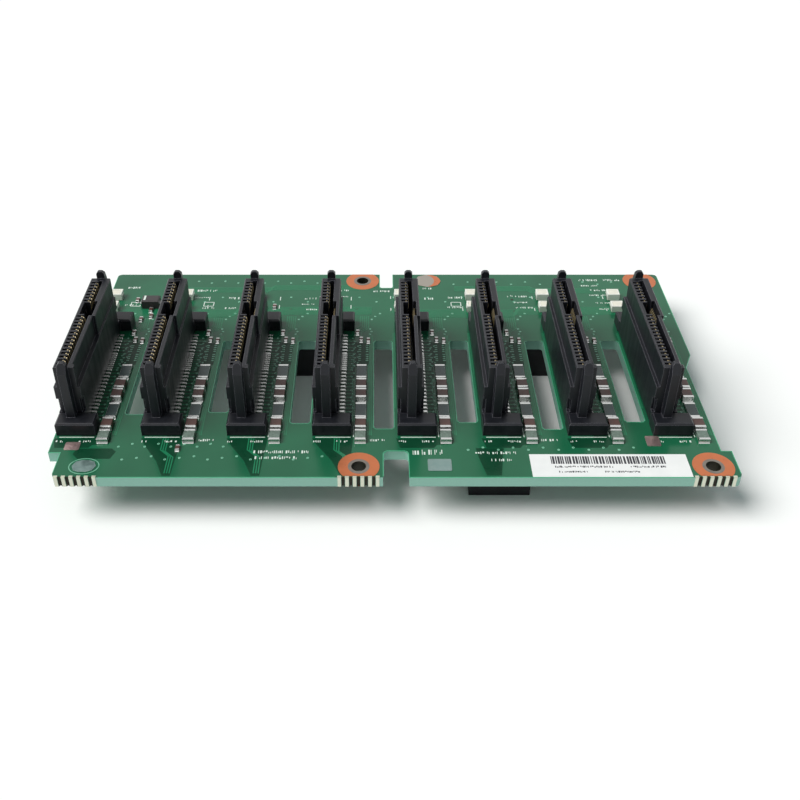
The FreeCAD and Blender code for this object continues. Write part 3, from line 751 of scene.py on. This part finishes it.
def bay_lanes():
    """Bundles that run back along both sides of the receptacles."""
    lanes = []
    for number, axis in enumerate(AXES):
        lanes += fan(3, 0.36, (axis + 8.72, 13.0), (axis + 8.9, 50.0), 38.0 - number % 3)
        lanes += fan(2, 0.36, (axis + 5.45, 17.5), (axis + 5.2, 33.0), 24.0)
        if number:
            lanes += fan(2, 0.3, (axis - 3.4, 22.0), (axis - 3.3, 51.0), 35.0)
    return lanes


def board_lanes():
    """Bundles in the funnels, behind the receptacles and across the rear of the board."""
    lanes = []
    for number, axis in enumerate(AXES):
        if number in FUNNEL_BAYS:
            lanes += fan(3, 0.5, (axis + 3.7, 1.2), (axis + 1.8, 12.0), 7.4)
        lanes += fan(5, 0.5, (axis + 4.9, 49.5), (axis + 6.6, 58.4), 53.0)
    lanes += fan(7, 0.52, (LEFT + 4, 58.0), (-4.0, 59.3), -38.0)
    lanes += fan(7, 0.52, (5.0, 58.0), (RIGHT - 4, 59.3), 31.0)
    lanes += fan(5, 0.5, (LEFT + 16, 69.6), (-5.0, 70.7), -30.0)
    lanes += fan(5, 0.5, (17.0, 70.2), (RIGHT - 18, 69.2), 36.0)
    return lanes


class BACKPLANE_OT_tracks(bpy.types.Operator):
    """Routes the tracks that show through the mask and lays darker mask as painted shade and reflection by
    the receptacles
    """

    bl_idname = "backplane.tracks"
    bl_label = "Tracks"

    def execute(self, context):
        board = context.scene.backplane_board
        wide, high = board.track_width / MM, board.track_height / MM
        # Darker mask for painted shade and reflection: the funnels, aprons, strips and two further places
        bare = [(FUNNEL if number in FUNNEL_BAYS else APRON) + (axis, 0)
                for number, axis in enumerate(AXES[:-1])]
        bare += [STRIP + (axis, 0) for axis in AXES]
        bare += PAINTED_SHADE_PLACES
        parts = [(prism(outline, 0.0, TRACK_LEVEL), 1, "capped") for outline in bare]
        parts += [(bars(np.array(lines), (0, 0, 1), high, wide), 0, "capped")
                  for lines in (contact_stubs(), bay_lanes(), board_lanes())]
        make_piece("masked_tracks", parts, [finish("track"), finish("bare")])
        return {"FINISHED"}


# Rows of vias across the board: from, to and pitch, then their y, how far they step back and the turns
VIA_ROWS = ((-56.0, -34.0, 2.7, 9.4, 0.9, 2), (-54.5, -13.0, 2.9, 5.4, 0.5, 3),
            (16.0, 52.0, 3.1, 8.4, 0.7, 2), (-63.0, 64.0, 4.3, 65.0, 2.1, 2),
            (-52.0, -14.0, 3.4, 74.0, 0.9, 2), (17.0, 58.0, 3.7, 73.4, 1.1, 2))
REAR_VIAS = (2.1, 3.4, 4.6, 9.4, 10.2, 11.4)
OPEN_HOLES = ((-24.0, 61.7, 0.0), (-7.65, 61.7, 0.0), (31.2, 60.6, 0.0), (31.2, 66.0, 0.0))


def via_spots():
    """Where the vias stand: by the contact tails, behind each bay and in rows across the board."""
    spots = []
    for axis in AXES:
        spots += [(axis + 4.95 + 0.5 * (i % 2), y) for i, y in enumerate(PRIMARY_ROW)]
        spots += [(axis + 5.0 + 0.5 * (i % 2), y) for i, y in enumerate(SECOND_ROW)]
        spots += [(axis + 9.0 + 0.35 * (i % 2), 50.6 + 1.1 * i) for i in range(3)]
        spots += staggered([axis + x for x in REAR_VIAS], 57.0, 1.3, 3)
    for start, stop, pitch, y, step, turns in VIA_ROWS:
        spots += staggered(np.arange(start, stop, pitch), y, step, turns)
    return raised(np.array(spots), 0.0)


class BACKPLANE_OT_vias(bpy.types.Operator):
    """Sets the vias, tented with mask, on both faces, the rim of the oval pad and four open holes whose
    bores carry painted shade
    """

    bl_idname = "backplane.vias"
    bl_label = "Vias"

    def execute(self, context):
        radius = context.scene.backplane_board.via_diameter / MM / 2
        crown = np.array([(1, 0), (0.85, 0.035), (0.45, 0.035), (0.3, 0.008)]) * (radius, 1)
        spots = via_spots()
        parts = [(turned(spots, crown, 8), 0, "capped"),
                 (turned(spots - (0, 0, THICK), crown[::-1] * (1, -1), 8), 0, "capped")]
        outside, inside, high = (1, 3.1, 2.4), (1, 2.9, 2.2), 0.02
        rim = [(*outside, 0.0), (*outside, high), (*inside, high), (*inside, 0.0)]
        parts.append((squared([(LEFT + 8.32, 3.35, 0.0)], rim, 48), 0, "looped"))
        bore = [(0.36, 0.0), (0.36, high), (0.1, 0.015)]
        parts.append((turned(OPEN_HOLES, bore, 12), 1, "capped"))
        make_piece("tented_vias", parts, [finish("via"), finish("groove")], 35)
        return {"FINISHED"}


# Rows of plain marks: from, to, how far up the board and how tall
LEGEND_ROWS = (
    (-28.0, -16.6, 7.7, 0.85), (-27.6, -18.6, 5.9, 0.85), (17.4, 25.6, 7.4, 0.75), (20.5, 24.5, 5.2, 0.7),
    (4.6, 10.6, 7.6, 1.5), (-48.3, -43.2, 70.2, 0.9), (-48.4, -45.0, 66.9, 0.4), (-46.0, -43.0, 62.0, 0.6),
    (-39.9, -37.0, 66.6, 0.9), (-40.4, -37.6, 62.0, 0.7), (-20.8, -18.0, 66.5, 0.9),
    (-21.4, -17.8, 63.8, 0.4), (-20.2, -17.6, 61.4, 0.6), (-12.6, -10.0, 70.3, 0.7),
    (-12.0, -9.4, 67.4, 0.5), (-3.6, 0.2, 69.9, 0.7), (9.0, 11.0, 71.3, 0.9), (9.2, 11.2, 66.4, 0.9),
    (15.2, 18.2, 66.9, 0.8), (14.8, 18.6, 62.4, 0.7), (30.2, 31.4, 67.6, 0.9), (32.2, 35.2, 67.4, 0.7),
    (31.6, 34.6, 64.6, 0.6), (31.8, 36.0, 62.2, 0.7), (49.4, 54.2, 75.3, 0.9), (55.8, 60.0, 75.4, 0.9),
    (49.6, 54.0, 72.6, 0.6), (51.6, 56.4, 70.4, 0.7), (51.0, 56.2, 68.0, 0.7), (52.0, 55.4, 64.4, 0.6),
    (52.4, 55.6, 61.6, 0.6), (-66.2, -63.4, 71.6, 0.9), (-65.4, -62.6, 63.4, 0.6))
# Frames round small parts: the middle of each, then their middle up the board, width and depth
LEGEND_FRAMES = (-44.6, 17.0, -62.8)
FRAME_Y, FRAME_WIDE, FRAME_DEEP = 63.8, 2.4, 1.8
# Ticks: widths, shares of the full height, and shares of the gap between two
TICK_WIDTHS = (0.14, 0.14, 0.2, 0.34)
TICK_SHARES = (0.55, 0.8, 1.0)
TICK_GAPS = (0.8, 1, 1, 2.8)
# Bays that have uprights behind them, and those that have a further row of ticks in front
UPRIGHT_BAYS = (1, 2, 3)
FRONT_ROW_BAYS = (1, 3, 5)


def dashes(rng, x0, x1, y, high, gap=0.22):
    """A row of plain upright ticks of mixed heights between two ends."""
    marks, x = [], x0
    while x < x1:
        wide = rng.choice(TICK_WIDTHS)
        tall = high * rng.choice(TICK_SHARES)
        marks.append((x + wide / 2, y + (high - tall) * rng.choice((-0.5, 0, 0.5)), wide, tall))
        x += wide + gap * rng.choice(TICK_GAPS)
    return marks


def bay_marks(rng, number, axis):
    """The marks round one bay, each with its middle, width and depth: lines before and behind the
    receptacle, ticks beside it and, at some bays, more ticks behind or in front."""
    marks = [(axis + 1.45, 12.35, 7.3, 0.2), (axis + 5.72, 14.2, 0.18, 3.6)]
    marks += dashes(rng, axis - 2.6, axis - 1.2, 11.0, 0.6)
    marks += dashes(rng, axis + 2.2, axis + 4.6, 11.0, 0.6)
    marks.append((axis + 1.0, 56.9, 7.0, 0.18))
    if number in UPRIGHT_BAYS:
        marks += [(axis + 4.2, y, 0.2, 1.6) for y in (62.6, 66.4)]
    if number:
        marks += [(axis - 3.7, y, 0.18, 1.2) for y in (61.4, 66.9)]
    if number in FRONT_ROW_BAYS:
        marks += dashes(rng, axis + 9.2, axis + 12.6, 11.4, 0.7)
    return marks


def printed(name, marks, level, thick, ink):
    """Flat marks, each with its middle, width and depth, printed as one piece."""
    marks = np.array(marks)
    make_piece(name, [(blocks(raised(marks[:, :2], level), raised(marks[:, 2:], thick)), 0, "capped")],
               [finish(ink)])


class BACKPLANE_OT_legend(bpy.types.Operator):
    """Prints the legend: the line before each connector and rows of plain marks"""

    bl_idname = "backplane.legend"
    bl_label = "Legend"

    def execute(self, context):
        rng = np.random.default_rng(context.scene.backplane_stage.legend_seed)
        marks = []
        for number, axis in enumerate(AXES):
            marks += bay_marks(rng, number, axis)
        for row in LEGEND_ROWS:
            marks += dashes(rng, *row)
        for x in LEGEND_FRAMES:
            marks += [(x, FRAME_Y + side * FRAME_DEEP / 2, FRAME_WIDE, 0.2) for side in (-1, 1)]
            marks += [(x + side * FRAME_WIDE / 2, FRAME_Y, 0.2, FRAME_DEEP) for side in (-1, 1)]
        printed("printed_legend", marks, 0.0, 0.05, "ink")
        return {"FINISHED"}


class BACKPLANE_OT_rings(bpy.types.Operator):
    """Lays the bare foil: a flat ring round each mounting hole, held back from the board's long edges,
    and a crescent between two arcs on the rear pad"""

    bl_idname = "backplane.rings"
    bl_label = "Foil rings"

    def execute(self, context):
        outside, inside, high = 4.2, 2.15, 0.06
        rings = turned(HOLES, [(outside, 0), (outside, high), (inside, high), (inside, 0)], 64)
        rings[..., 1] = np.clip(rings[..., 1], 0.37, DEPTH - 0.02)
        turn = np.radians(np.linspace(-72, 72, 13))
        outer, inner = (np.stack([middle + reach * np.cos(turn), HOLE_YS[1] + 2.9 * np.sin(turn)], 1)
                        for middle, reach in ((10.44, 3.2), (9.6, 2.4)))
        crescent = prism(np.concatenate([outer, inner[::-1]]), 0.08, 0.12)
        made = make_piece("foil_rings", [(rings, 0, "looped"), (crescent, 0, "capped")], [finish("copper")],
                          35)
        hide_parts("copper_rings")
        return {"FINISHED"}


class BACKPLANE_OT_holes(bpy.types.Operator):
    """Lines the mounting holes with plated barrels, coloured as painted shade, and their lands: profiles
    turned about each hole
    """

    bl_idname = "backplane.holes"
    bl_label = "Hole barrels"

    def execute(self, context):
        bore, step, rim, foil_in, foil_out = 1.48, 1.6, 2.2, 2.25, 3.15
        under, below = -THICK, -THICK - 0.02
        land = [(1.5, 0.0), (rim, 0.0), (rim, 0.08), (1.5, 0.1)]
        wall = [(bore, below), (rim, below), (rim, under), (step, under), (step, 0.06), (bore, 0.09)]
        foil = [(foil_in, below), (foil_in, under), (foil_out, under), (foil_out, below)]
        parts = [(turned(HOLES, land, 40), 0, "looped"), (turned(HOLES, wall, 40), 2, "looped"),
                 (turned(HOLES, foil, 40), 1, "looped")]
        make_piece("hole_barrels", parts, [finish("land"), finish("copper"), finish("groove")], 35)
        return {"FINISHED"}


# ---- Receptacles and their contacts ---------------------------------------
class BACKPLANE_OT_housings(bpy.types.Operator):
    """Finishes the eight drive connector housings"""

    bl_idname = "backplane.housings"
    bl_label = "Drive connector housings"

    def execute(self, context):
        for number in range(1, BAYS + 1):
            dress("drive_connector_%d" % number, "housing")
        return {"FINISHED"}


# Contacts from tail to tip: offset from the bay's axis, height and share of the full width; the second
# row's widths, and how much of each row's tail is dipped in tin
PRIMARY_FORM = ((2.2, 0.12, 1), (-0.9, 0.12, 1), (-1.2, 0.2, 1), (-1.32, 0.5, 1), (-1.34, 9.2, 1),
                (-1.05, 10.4, 0.95), (-0.5, 11.7, 0.9), (-0.1, 12.9, 0.86), (-0.06, 13.6, 0.84),
                (-0.22, 14.14, 0.84), (-0.7, 14.48, 0.8))
SECOND_WIDE, SECOND_LAND_WIDE = 0.32, 0.36
PRIMARY_DIPPED, SECOND_DIPPED = 1.4, 1.0
SECOND_FORM = ((2.7, 0.12, 1), (1.75, 0.12, 1), (1.52, 0.22, 1), (1.44, 0.5, 1), (1.44, 9.2, 1),
               (1.2, 10.4, 1), (0.9, 11.5, 1), (0.92, 12.0, 1), (1.2, 12.9, 1))


def fillet(reach, foot_wide, end_wide, skin, rise):
    """Stations of a solder fillet, whose height falls as the square of what is left of its reach."""
    share = np.linspace(0, 1, 5)
    wide = foot_wide + (end_wide - foot_wide) * share
    return np.column_stack([share * reach, wide, np.zeros(5), skin + rise * (1 - share) ** 2])


def solder_lands(spots, wide, tail):
    """The dipped tail, the land under it and the fillet at its tip."""
    land_back, land_long, land_margin, land_thick = 0.35, 1.0, 0.1, 0.03
    tin_low, tin_high, overlap = 0.02, 0.23, 0.02
    tips = raised(np.array(spots), 0.0)
    along = (1, 0, 0)
    dipped = [(x, wide * 1.06, tin_low, tin_high) for x in (-tail, 0.0)]
    slope = fillet(0.14, wide * 1.1, wide * 0.85, 0.03, 0.19)
    lands = blocks(tips - (land_back, 0, 0), (land_long, wide + land_margin, land_thick))
    return [(lands, 1, "capped"), (lengthwise(tips, along, dipped, 0.04), 1, "capped"),
            (lengthwise(tips - (overlap, 0, 0), along, slope, 0.08), 1, "capped")]


def contact_row(name, axis, form, row, wide, land_wide, tail):
    """One row of contacts, each a strip carried along its form, with its solder."""
    thick = bpy.context.scene.backplane_connector.contact_thick / MM
    x, z, taper = np.array(form).T
    paths = np.array([np.column_stack([axis + x, np.full(len(x), y), z]) for y in row])
    parts = [(bars(paths, (0, 1, 0), wide * taper, thick), 0, "capped")]
    parts += solder_lands([(axis + TAIL_TIP, y) for y in row], land_wide, tail)
    return make_piece(name, parts, [finish("contact"), finish("tin")], 30)


class BACKPLANE_OT_contacts(bpy.types.Operator):
    """Forms the sprung contacts of every drive connector, with soldered tails"""

    bl_idname = "backplane.contacts"
    bl_label = "Drive contacts"

    def execute(self, context):
        wide = context.scene.backplane_connector.contact_width / MM
        for number, axis in enumerate(AXES, 1):
            made = contact_row("primary_springs_%d" % number, axis, PRIMARY_FORM, PRIMARY_ROW,
                               wide, wide, PRIMARY_DIPPED)
            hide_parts("primary_contacts_%d" % number)
            made = contact_row("secondary_springs_%d" % number, axis, SECOND_FORM, SECOND_ROW,
                               SECOND_WIDE, SECOND_LAND_WIDE, SECOND_DIPPED)
            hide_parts("secondary_contacts_%d" % number)
        return {"FINISHED"}


# ---- Chips, lamps and diode -----------------------------------------------
def chip_lattices(spots, size, end):
    """A chip's body and its two wrapped ends, all carried along its length. The ends are rounded by a
    soft edge, and the body starts within them."""
    long, wide, high = size
    half, soft, wall = long / 2, 0.09, end * 0.8
    body = [(x, wide * 0.95, 0.05, high * 0.94) for x in (wall - half, half - wall)]
    near = [(-half, wide - 2 * soft, 0.06, high - soft), (-half + soft, wide, 0.0, high),
            (-half + end - soft * 0.6, wide, 0.0, high), (-half + end, wide * 0.965, 0.02, high * 0.96)]
    far = [(-s, w, low, top) for s, w, low, top in near[::-1]]
    return (lengthwise(spots, CHIP_WAY, body, 0.07), lengthwise(spots, CHIP_WAY, near, 0.1),
            lengthwise(spots, CHIP_WAY, far, 0.1))


def end_fillets(spots, size):
    """Solder climbing both ends of a chip, up most of its height but no higher than a set rise."""
    highest, overlap = 0.75, 0.03
    long, wide, high = size
    slope = fillet(0.24, wide, wide * 0.92, 0.04, min(high * 0.7, highest))
    return [(lengthwise(spots + way * (long / 2 - overlap), way, slope, 0.12), 1, "capped")
            for way in (CHIP_WAY, -CHIP_WAY)]


def seat_chips(name, spots, size, end, key, nodes):
    """A family of soldered chips as one piece; its key names its finish."""
    body, near, far = chip_lattices(spots, size, end)
    parts = [(body, 0, "capped"), (near, 1, "capped"), (far, 1, "capped")] + end_fillets(spots, size)
    made = make_piece(name, parts, [finish(key), finish("tin")], 30)
    if nodes:
        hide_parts(*nodes)


class BACKPLANE_OT_chips(bpy.types.Operator):
    """Seats the resistors, capacitors and filters beside each connector, with their solder"""

    bl_idname = "backplane.chips"
    bl_label = "Bay chips"

    def execute(self, context):
        seat_chips("bay_resistors", at_bays(CHIP_X, RESISTOR_ROWS), RESISTOR_SIZE, END_WRAP,
                   "resistor", ("resistor_bodies", "resistor_ends"))
        seat_chips("bay_capacitors", at_bays(CHIP_X, CAPACITOR_ROWS), CAPACITOR_SIZE, END_WRAP,
                   "capacitor", ("capacitor_bodies", "capacitor_ends"))
        seat_chips("bay_filters", at_bays(CHIP_X, FILTER_ROWS), FILTER_SIZE, END_WRAP,
                   "filter", ("filter_bodies", "filter_ends"))
        return {"FINISHED"}


# Small chips: their size, three in every bay, and more behind the first bays and by one funnel
SMALL_SIZE, SMALL_WRAP = (1.6, 0.9, 0.6), 0.35
SMALL_IN_BAY = ((6.0, 50.9), (6.9, 47.9), (8.6, 47.5))
SMALL_ELSEWHERE = ((-43.7, 8.7, 0), (-58.5, 60.9, 0), (-60.2, 56.7, 0), (-58.0, 58.2, 0), (-62.6, 65.4, 0),
                   (-28.1, 62.4, 0))


class BACKPLANE_OT_small_chips(bpy.types.Operator):
    """Lays the bare footprints and seats the small chips behind and in front of the connectors"""

    bl_idname = "backplane.small_chips"
    bl_label = "Small chips"

    def execute(self, context):
        # Two arrays of eight lands a bay, and a column of paired lands beside them
        arrays = at_bays(7.5, (44.6, 41.0))
        lands = np.concatenate([arrays + (side * 0.85, step * 0.8, 0) for side in (-1, 1)
                                for step in (-1.5, -0.5, 0.5, 1.5)])
        pairs = np.concatenate([at_bays(5.3 + 0.9 * (i % 2), (37.8 + 1.1 * i,)) for i in range(9)])
        parts = [(blocks(lands, (0.62, 0.4, 0.05), 0.02), 0, "capped"),
                 (blocks(pairs, (0.4, 0.5, 0.05), 0.02), 0, "capped")]
        make_piece("bare_footprints", parts, [finish("via")])
        small = np.concatenate([at_bays(x, (y,)) for x, y in SMALL_IN_BAY] + [np.array(SMALL_ELSEWHERE)])
        seat_chips("small_capacitors", small, SMALL_SIZE, SMALL_WRAP, "capacitor", ())
        return {"FINISHED"}


# A lamp's body and resin as stations of squared(), and one lead as offset and height
LAMP_BODY = ((0, 1.46, 1.3, 0.06), (0, 1.48, 1.34, 0.6), (0, 1.48, 1.34, 1.74), (0, 1.42, 1.28, 1.8),
             (0.2, 1.14, 1.0, 1.8), (0.2, 1.08, 0.94, 1.66))
LAMP_RESIN = ((0.2, 1.08, 0.94, 1.6), (0.2, 1.1, 0.96, 1.76), (0.3, 0.7, 0.6, 1.79), (0.4, 0.3, 0.26, 1.8))
LAMP_LEAD = ((1.4, 0.95), (1.56, 0.95), (1.56, 0.1), (1.1, 0.1))
LEAD_WIDE, LEAD_THICK = 1.7, 0.12


class BACKPLANE_OT_lamps(bpy.types.Operator):
    """Makes the status lamps: white bodies with a round resin cup and wrapped leads"""

    bl_idname = "backplane.lamps"
    bl_label = "Status lamps"

    def execute(self, context):
        spots = at_bays(LAMP_X, LAMP_ROWS)
        parts = [(squared(spots, LAMP_BODY), 0, "capped"), (squared(spots, LAMP_RESIN), 1, "capped")]
        for side in (-1, 1):
            lines = np.array([(x * side, 0, z) for x, z in LAMP_LEAD]) + spots[:, None]
            parts.append((bars(lines, (0, side, 0), LEAD_WIDE, LEAD_THICK), 2, "capped"))
        made = make_piece("status_lamps", parts, [finish("lamp"), finish("resin"), finish("tin")], 30)
        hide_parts("led_bodies")
        return {"FINISHED"}


class BACKPLANE_OT_diode(bpy.types.Operator):
    """Finishes the power diode and marks its cathode end"""

    bl_idname = "backplane.diode"
    bl_label = "Power diode"

    def execute(self, context):
        dress("power_diode", "epoxy")
        dress("diode_leads", "tin")
        in_from_end, wide, margin, sunk, thick = 0.75, 0.5, 0.4, 0.01, 0.03
        low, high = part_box("power_diode")
        spot = (low.x / MM + in_from_end, (low.y + high.y) / 2 / MM - FRONT, high.z / MM - TOP - sunk)
        band = blocks([spot], (wide, (high.y - low.y) / MM - 2 * margin, thick))
        make_piece("diode_band", [(band, 0, "capped")], [finish("ink")])
        return {"FINISHED"}


# ---- Label and underside --------------------------------------------------
# The bar code from the label's lower left corner, and rows of dashes: from, to, y and height. The label
# draws its marks from a seed of its own, this far from the legend's.
LABEL_DRAW = 4
CODE_FROM, CODE_TO, CODE_MIDDLE, CODE_TALL = 4.2, 27.2, 5.0, 2.3
BAR_WIDTHS, BAR_GAPS = (0.2, 0.28, 0.42), (0.12, 0.18, 0.3)
LABEL_ROWS = ((4.8, 16.5, 3.0, 0.55), (20.0, 27.0, 3.0, 0.55), (5.4, 11.0, 1.5, 0.5),
              (14.6, 21.5, 1.5, 0.5))


class BACKPLANE_OT_label(bpy.types.Operator):
    """Finishes the paper label and prints plain bars and dashes on it"""

    bl_idname = "backplane.label"
    bl_label = "Paper label"

    def execute(self, context):
        dress("paper_label", "paper")
        rng = np.random.default_rng(context.scene.backplane_stage.legend_seed + LABEL_DRAW)
        low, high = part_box("paper_label")
        x0, y0 = low.x / MM, low.y / MM - FRONT
        marks, x = [], x0 + CODE_FROM
        while x < x0 + CODE_TO:
            wide = rng.choice(BAR_WIDTHS)
            marks.append((x + wide / 2, y0 + CODE_MIDDLE, wide, CODE_TALL))
            x += wide + rng.choice(BAR_GAPS)
        for start, end, y, tall in LABEL_ROWS:
            marks += dashes(rng, x0 + start, x0 + end, y0 + y, tall, 0.12)
        printed("label_print", marks, high.z / MM - TOP, 0.012, "print")
        return {"FINISHED"}


class BACKPLANE_OT_underside(bpy.types.Operator):
    """Finishes the cable and power connectors below and fills their sockets with contacts"""

    bl_idname = "backplane.underside"
    bl_label = "Underside connectors"

    def execute(self, context):
        sockets = ("cable_connector_a", "cable_connector_b")
        for node in sockets + ("power_connector",):
            dress(node, "nylon")
        dress("power_pins", "tin")
        ways, pitch, aside, base, size = 18, 1.0, 1.0, 1.2, (0.45, 0.28, 4.6)
        rows = []
        for node in sockets:
            low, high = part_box(node)
            middle = (low + high) / 2 / MM
            rows += [(middle.x + (i - (ways - 1) / 2) * pitch, middle.y - FRONT + side * aside,
                      base - THICK - STAND) for i in range(ways) for side in (-1, 1)]
        parts = [(blocks(rows, size, 0.08), 0, "capped")]
        make_piece("cable_contacts", parts, [finish("contact")])
        return {"FINISHED"}


# ---- Stage ----------------------------------------------------------------
# Places and the floor's half width are in metres
SKY_HUE = (0.84, 1.0, 1.0, 1)
WHITE = (1, 1, 1, 1)
LAMP_HUE = (1.0, 0.98, 0.96)
LAMP_TURN = (math.radians(6), math.radians(-37.5), 0)
FLOOR_HALF = 4.0
CAMERA_PLACE = (-0.0028, -0.1888, 0.1467)
CAMERA_TURN = (math.radians(53.83), 0, 0)
CAMERA_SHIFT = (0.0293, -0.0391)


def seen_share(tree):
    """One for camera, glossy and transmission rays, which show what is behind, and nothing for others."""
    ray = add(tree, "ShaderNodeLightPath").outputs
    seen = add(tree, "ShaderNodeMath", {0: ray["Is Camera Ray"], 1: ray["Is Glossy Ray"]},
               operation="MAXIMUM")
    return add(tree, "ShaderNodeMath", {0: seen.outputs[0], 1: ray["Is Transmission Ray"]},
               operation="MAXIMUM").outputs[0]


def pale_surroundings(settings):
    """A world that looks white and lights the object weakly and a little cool."""
    world = bpy.data.worlds.new("pale_surroundings")
    world.use_nodes = True
    tree = world.node_tree
    seen = seen_share(tree)
    level = add(tree, "ShaderNodeMapRange", {"Value": seen, "To Min": settings.sky, "To Max": 1.0})
    hue = add(tree, "ShaderNodeMix", {0: seen, 6: SKY_HUE, 7: WHITE}, data_type="RGBA")
    connect(tree, tree.nodes["Background"], {"Strength": level.outputs["Result"], "Color": hue.outputs[2]})
    return world


def floor_finish(settings):
    """Matt paper-white card, which adds a trace of its own light where it is seen."""
    material, tree, shader = begin("pale_floor", roughness=0.9, specular=0.0)
    shader.inputs["Base Color"].default_value = rgba(settings.floor)
    shader.inputs["Emission Color"].default_value = WHITE
    glow = add(tree, "ShaderNodeMath", {0: seen_share(tree), 1: settings.floor_glow},
               operation="MULTIPLY")
    connect(tree, shader, {"Emission Strength": glow.outputs[0]})
    return material


def set_up(scene, name, data, location=(0, 0, 0), turn=(0, 0, 0)):
    """An object of the stage, at its place and turned."""
    made = bpy.data.objects.new(name, data)
    made.location = location
    made.rotation_euler = turn
    scene.collection.objects.link(made)
    return made


class BACKPLANE_OT_stage(bpy.types.Operator):
    """Sets the floor, the soft light, the pale surroundings and the camera"""

    bl_idname = "backplane.stage"
    bl_label = "Stage"

    def execute(self, context):
        scene = context.scene
        settings = scene.backplane_stage
        scene.view_settings.view_transform = "Standard"
        scene.world = pale_surroundings(settings)

        lamp = bpy.data.lights.new("soft_lamp", "SUN")
        lamp.energy = settings.sun
        lamp.color = LAMP_HUE
        lamp.angle = settings.sun_angle
        set_up(scene, "soft_lamp", lamp, turn=LAMP_TURN)

        mesh = bpy.data.meshes.new("floor")
        corners = [(-1, -1), (1, -1), (1, 1), (-1, 1)]
        mesh.from_pydata([(x * FLOOR_HALF, y * FLOOR_HALF, CAD_BOX[0].z) for x, y in corners], [],
                         [(0, 1, 2, 3)])
        mesh.materials.append(floor_finish(settings))
        floor = set_up(scene, "floor", mesh)

        view = bpy.data.cameras.new("camera")
        view.lens = settings.lens
        view.sensor_width = 36
        view.shift_x, view.shift_y = CAMERA_SHIFT
        view.clip_start = 0.01
        scene.camera = set_up(scene, "camera", view, CAMERA_PLACE, CAMERA_TURN)
        return {"FINISHED"}


# ---- Add-on ---------------------------------------------------------------
OPERATORS = (
    BACKPLANE_OT_stage, BACKPLANE_OT_board, BACKPLANE_OT_grooves, BACKPLANE_OT_edge,
    BACKPLANE_OT_tracks, BACKPLANE_OT_vias, BACKPLANE_OT_legend, BACKPLANE_OT_rings,
    BACKPLANE_OT_holes, BACKPLANE_OT_housings, BACKPLANE_OT_contacts, BACKPLANE_OT_chips,
    BACKPLANE_OT_small_chips, BACKPLANE_OT_lamps, BACKPLANE_OT_diode, BACKPLANE_OT_label,
    BACKPLANE_OT_underside,
)
GROUPS = {
    "backplane_board": BoardSettings,
    "backplane_connector": ConnectorSettings,
    "backplane_chip": ChipSettings,
    "backplane_stage": StageSettings,
}


class BACKPLANE_PT_panel(bpy.types.Panel):
    """Lists the backplane's sizes, colours and pieces"""

    bl_idname = "BACKPLANE_PT_panel"
    bl_label = "Backplane"
    bl_space_type = "VIEW_3D"
    bl_region_type = "UI"
    bl_category = "Backplane"

    def draw(self, context):
        for operator in OPERATORS:
            self.layout.operator(operator.bl_idname)
        for name, group in GROUPS.items():
            box = self.layout.box()
            for field in group.__annotations__:
                box.prop(getattr(context.scene, name), field)


def register():
    for group in GROUPS.values():
        bpy.utils.register_class(group)
    for operator in OPERATORS:
        bpy.utils.register_class(operator)
    bpy.utils.register_class(BACKPLANE_PT_panel)
    for name, group in GROUPS.items():
        setattr(bpy.types.Scene, name, PointerProperty(type=group))


def unregister():
    for name in GROUPS:
        delattr(bpy.types.Scene, name)
    bpy.utils.unregister_class(BACKPLANE_PT_panel)
    for operator in reversed(OPERATORS):
        bpy.utils.unregister_class(operator)
    for group in reversed(list(GROUPS.values())):
        bpy.utils.unregister_class(group)


def main():
    register()
    bpy.ops.backplane.stage()
    bpy.ops.backplane.board()
    bpy.ops.backplane.grooves()
    bpy.ops.backplane.edge()
    bpy.ops.backplane.tracks()
    bpy.ops.backplane.vias()
    bpy.ops.backplane.legend()
    bpy.ops.backplane.rings()
    bpy.ops.backplane.holes()
    bpy.ops.backplane.housings()
    bpy.ops.backplane.contacts()
    bpy.ops.backplane.chips()
    bpy.ops.backplane.small_chips()
    bpy.ops.backplane.lamps()
    bpy.ops.backplane.diode()
    bpy.ops.backplane.label()
    bpy.ops.backplane.underside()


if __name__ == "__main__":
    main()
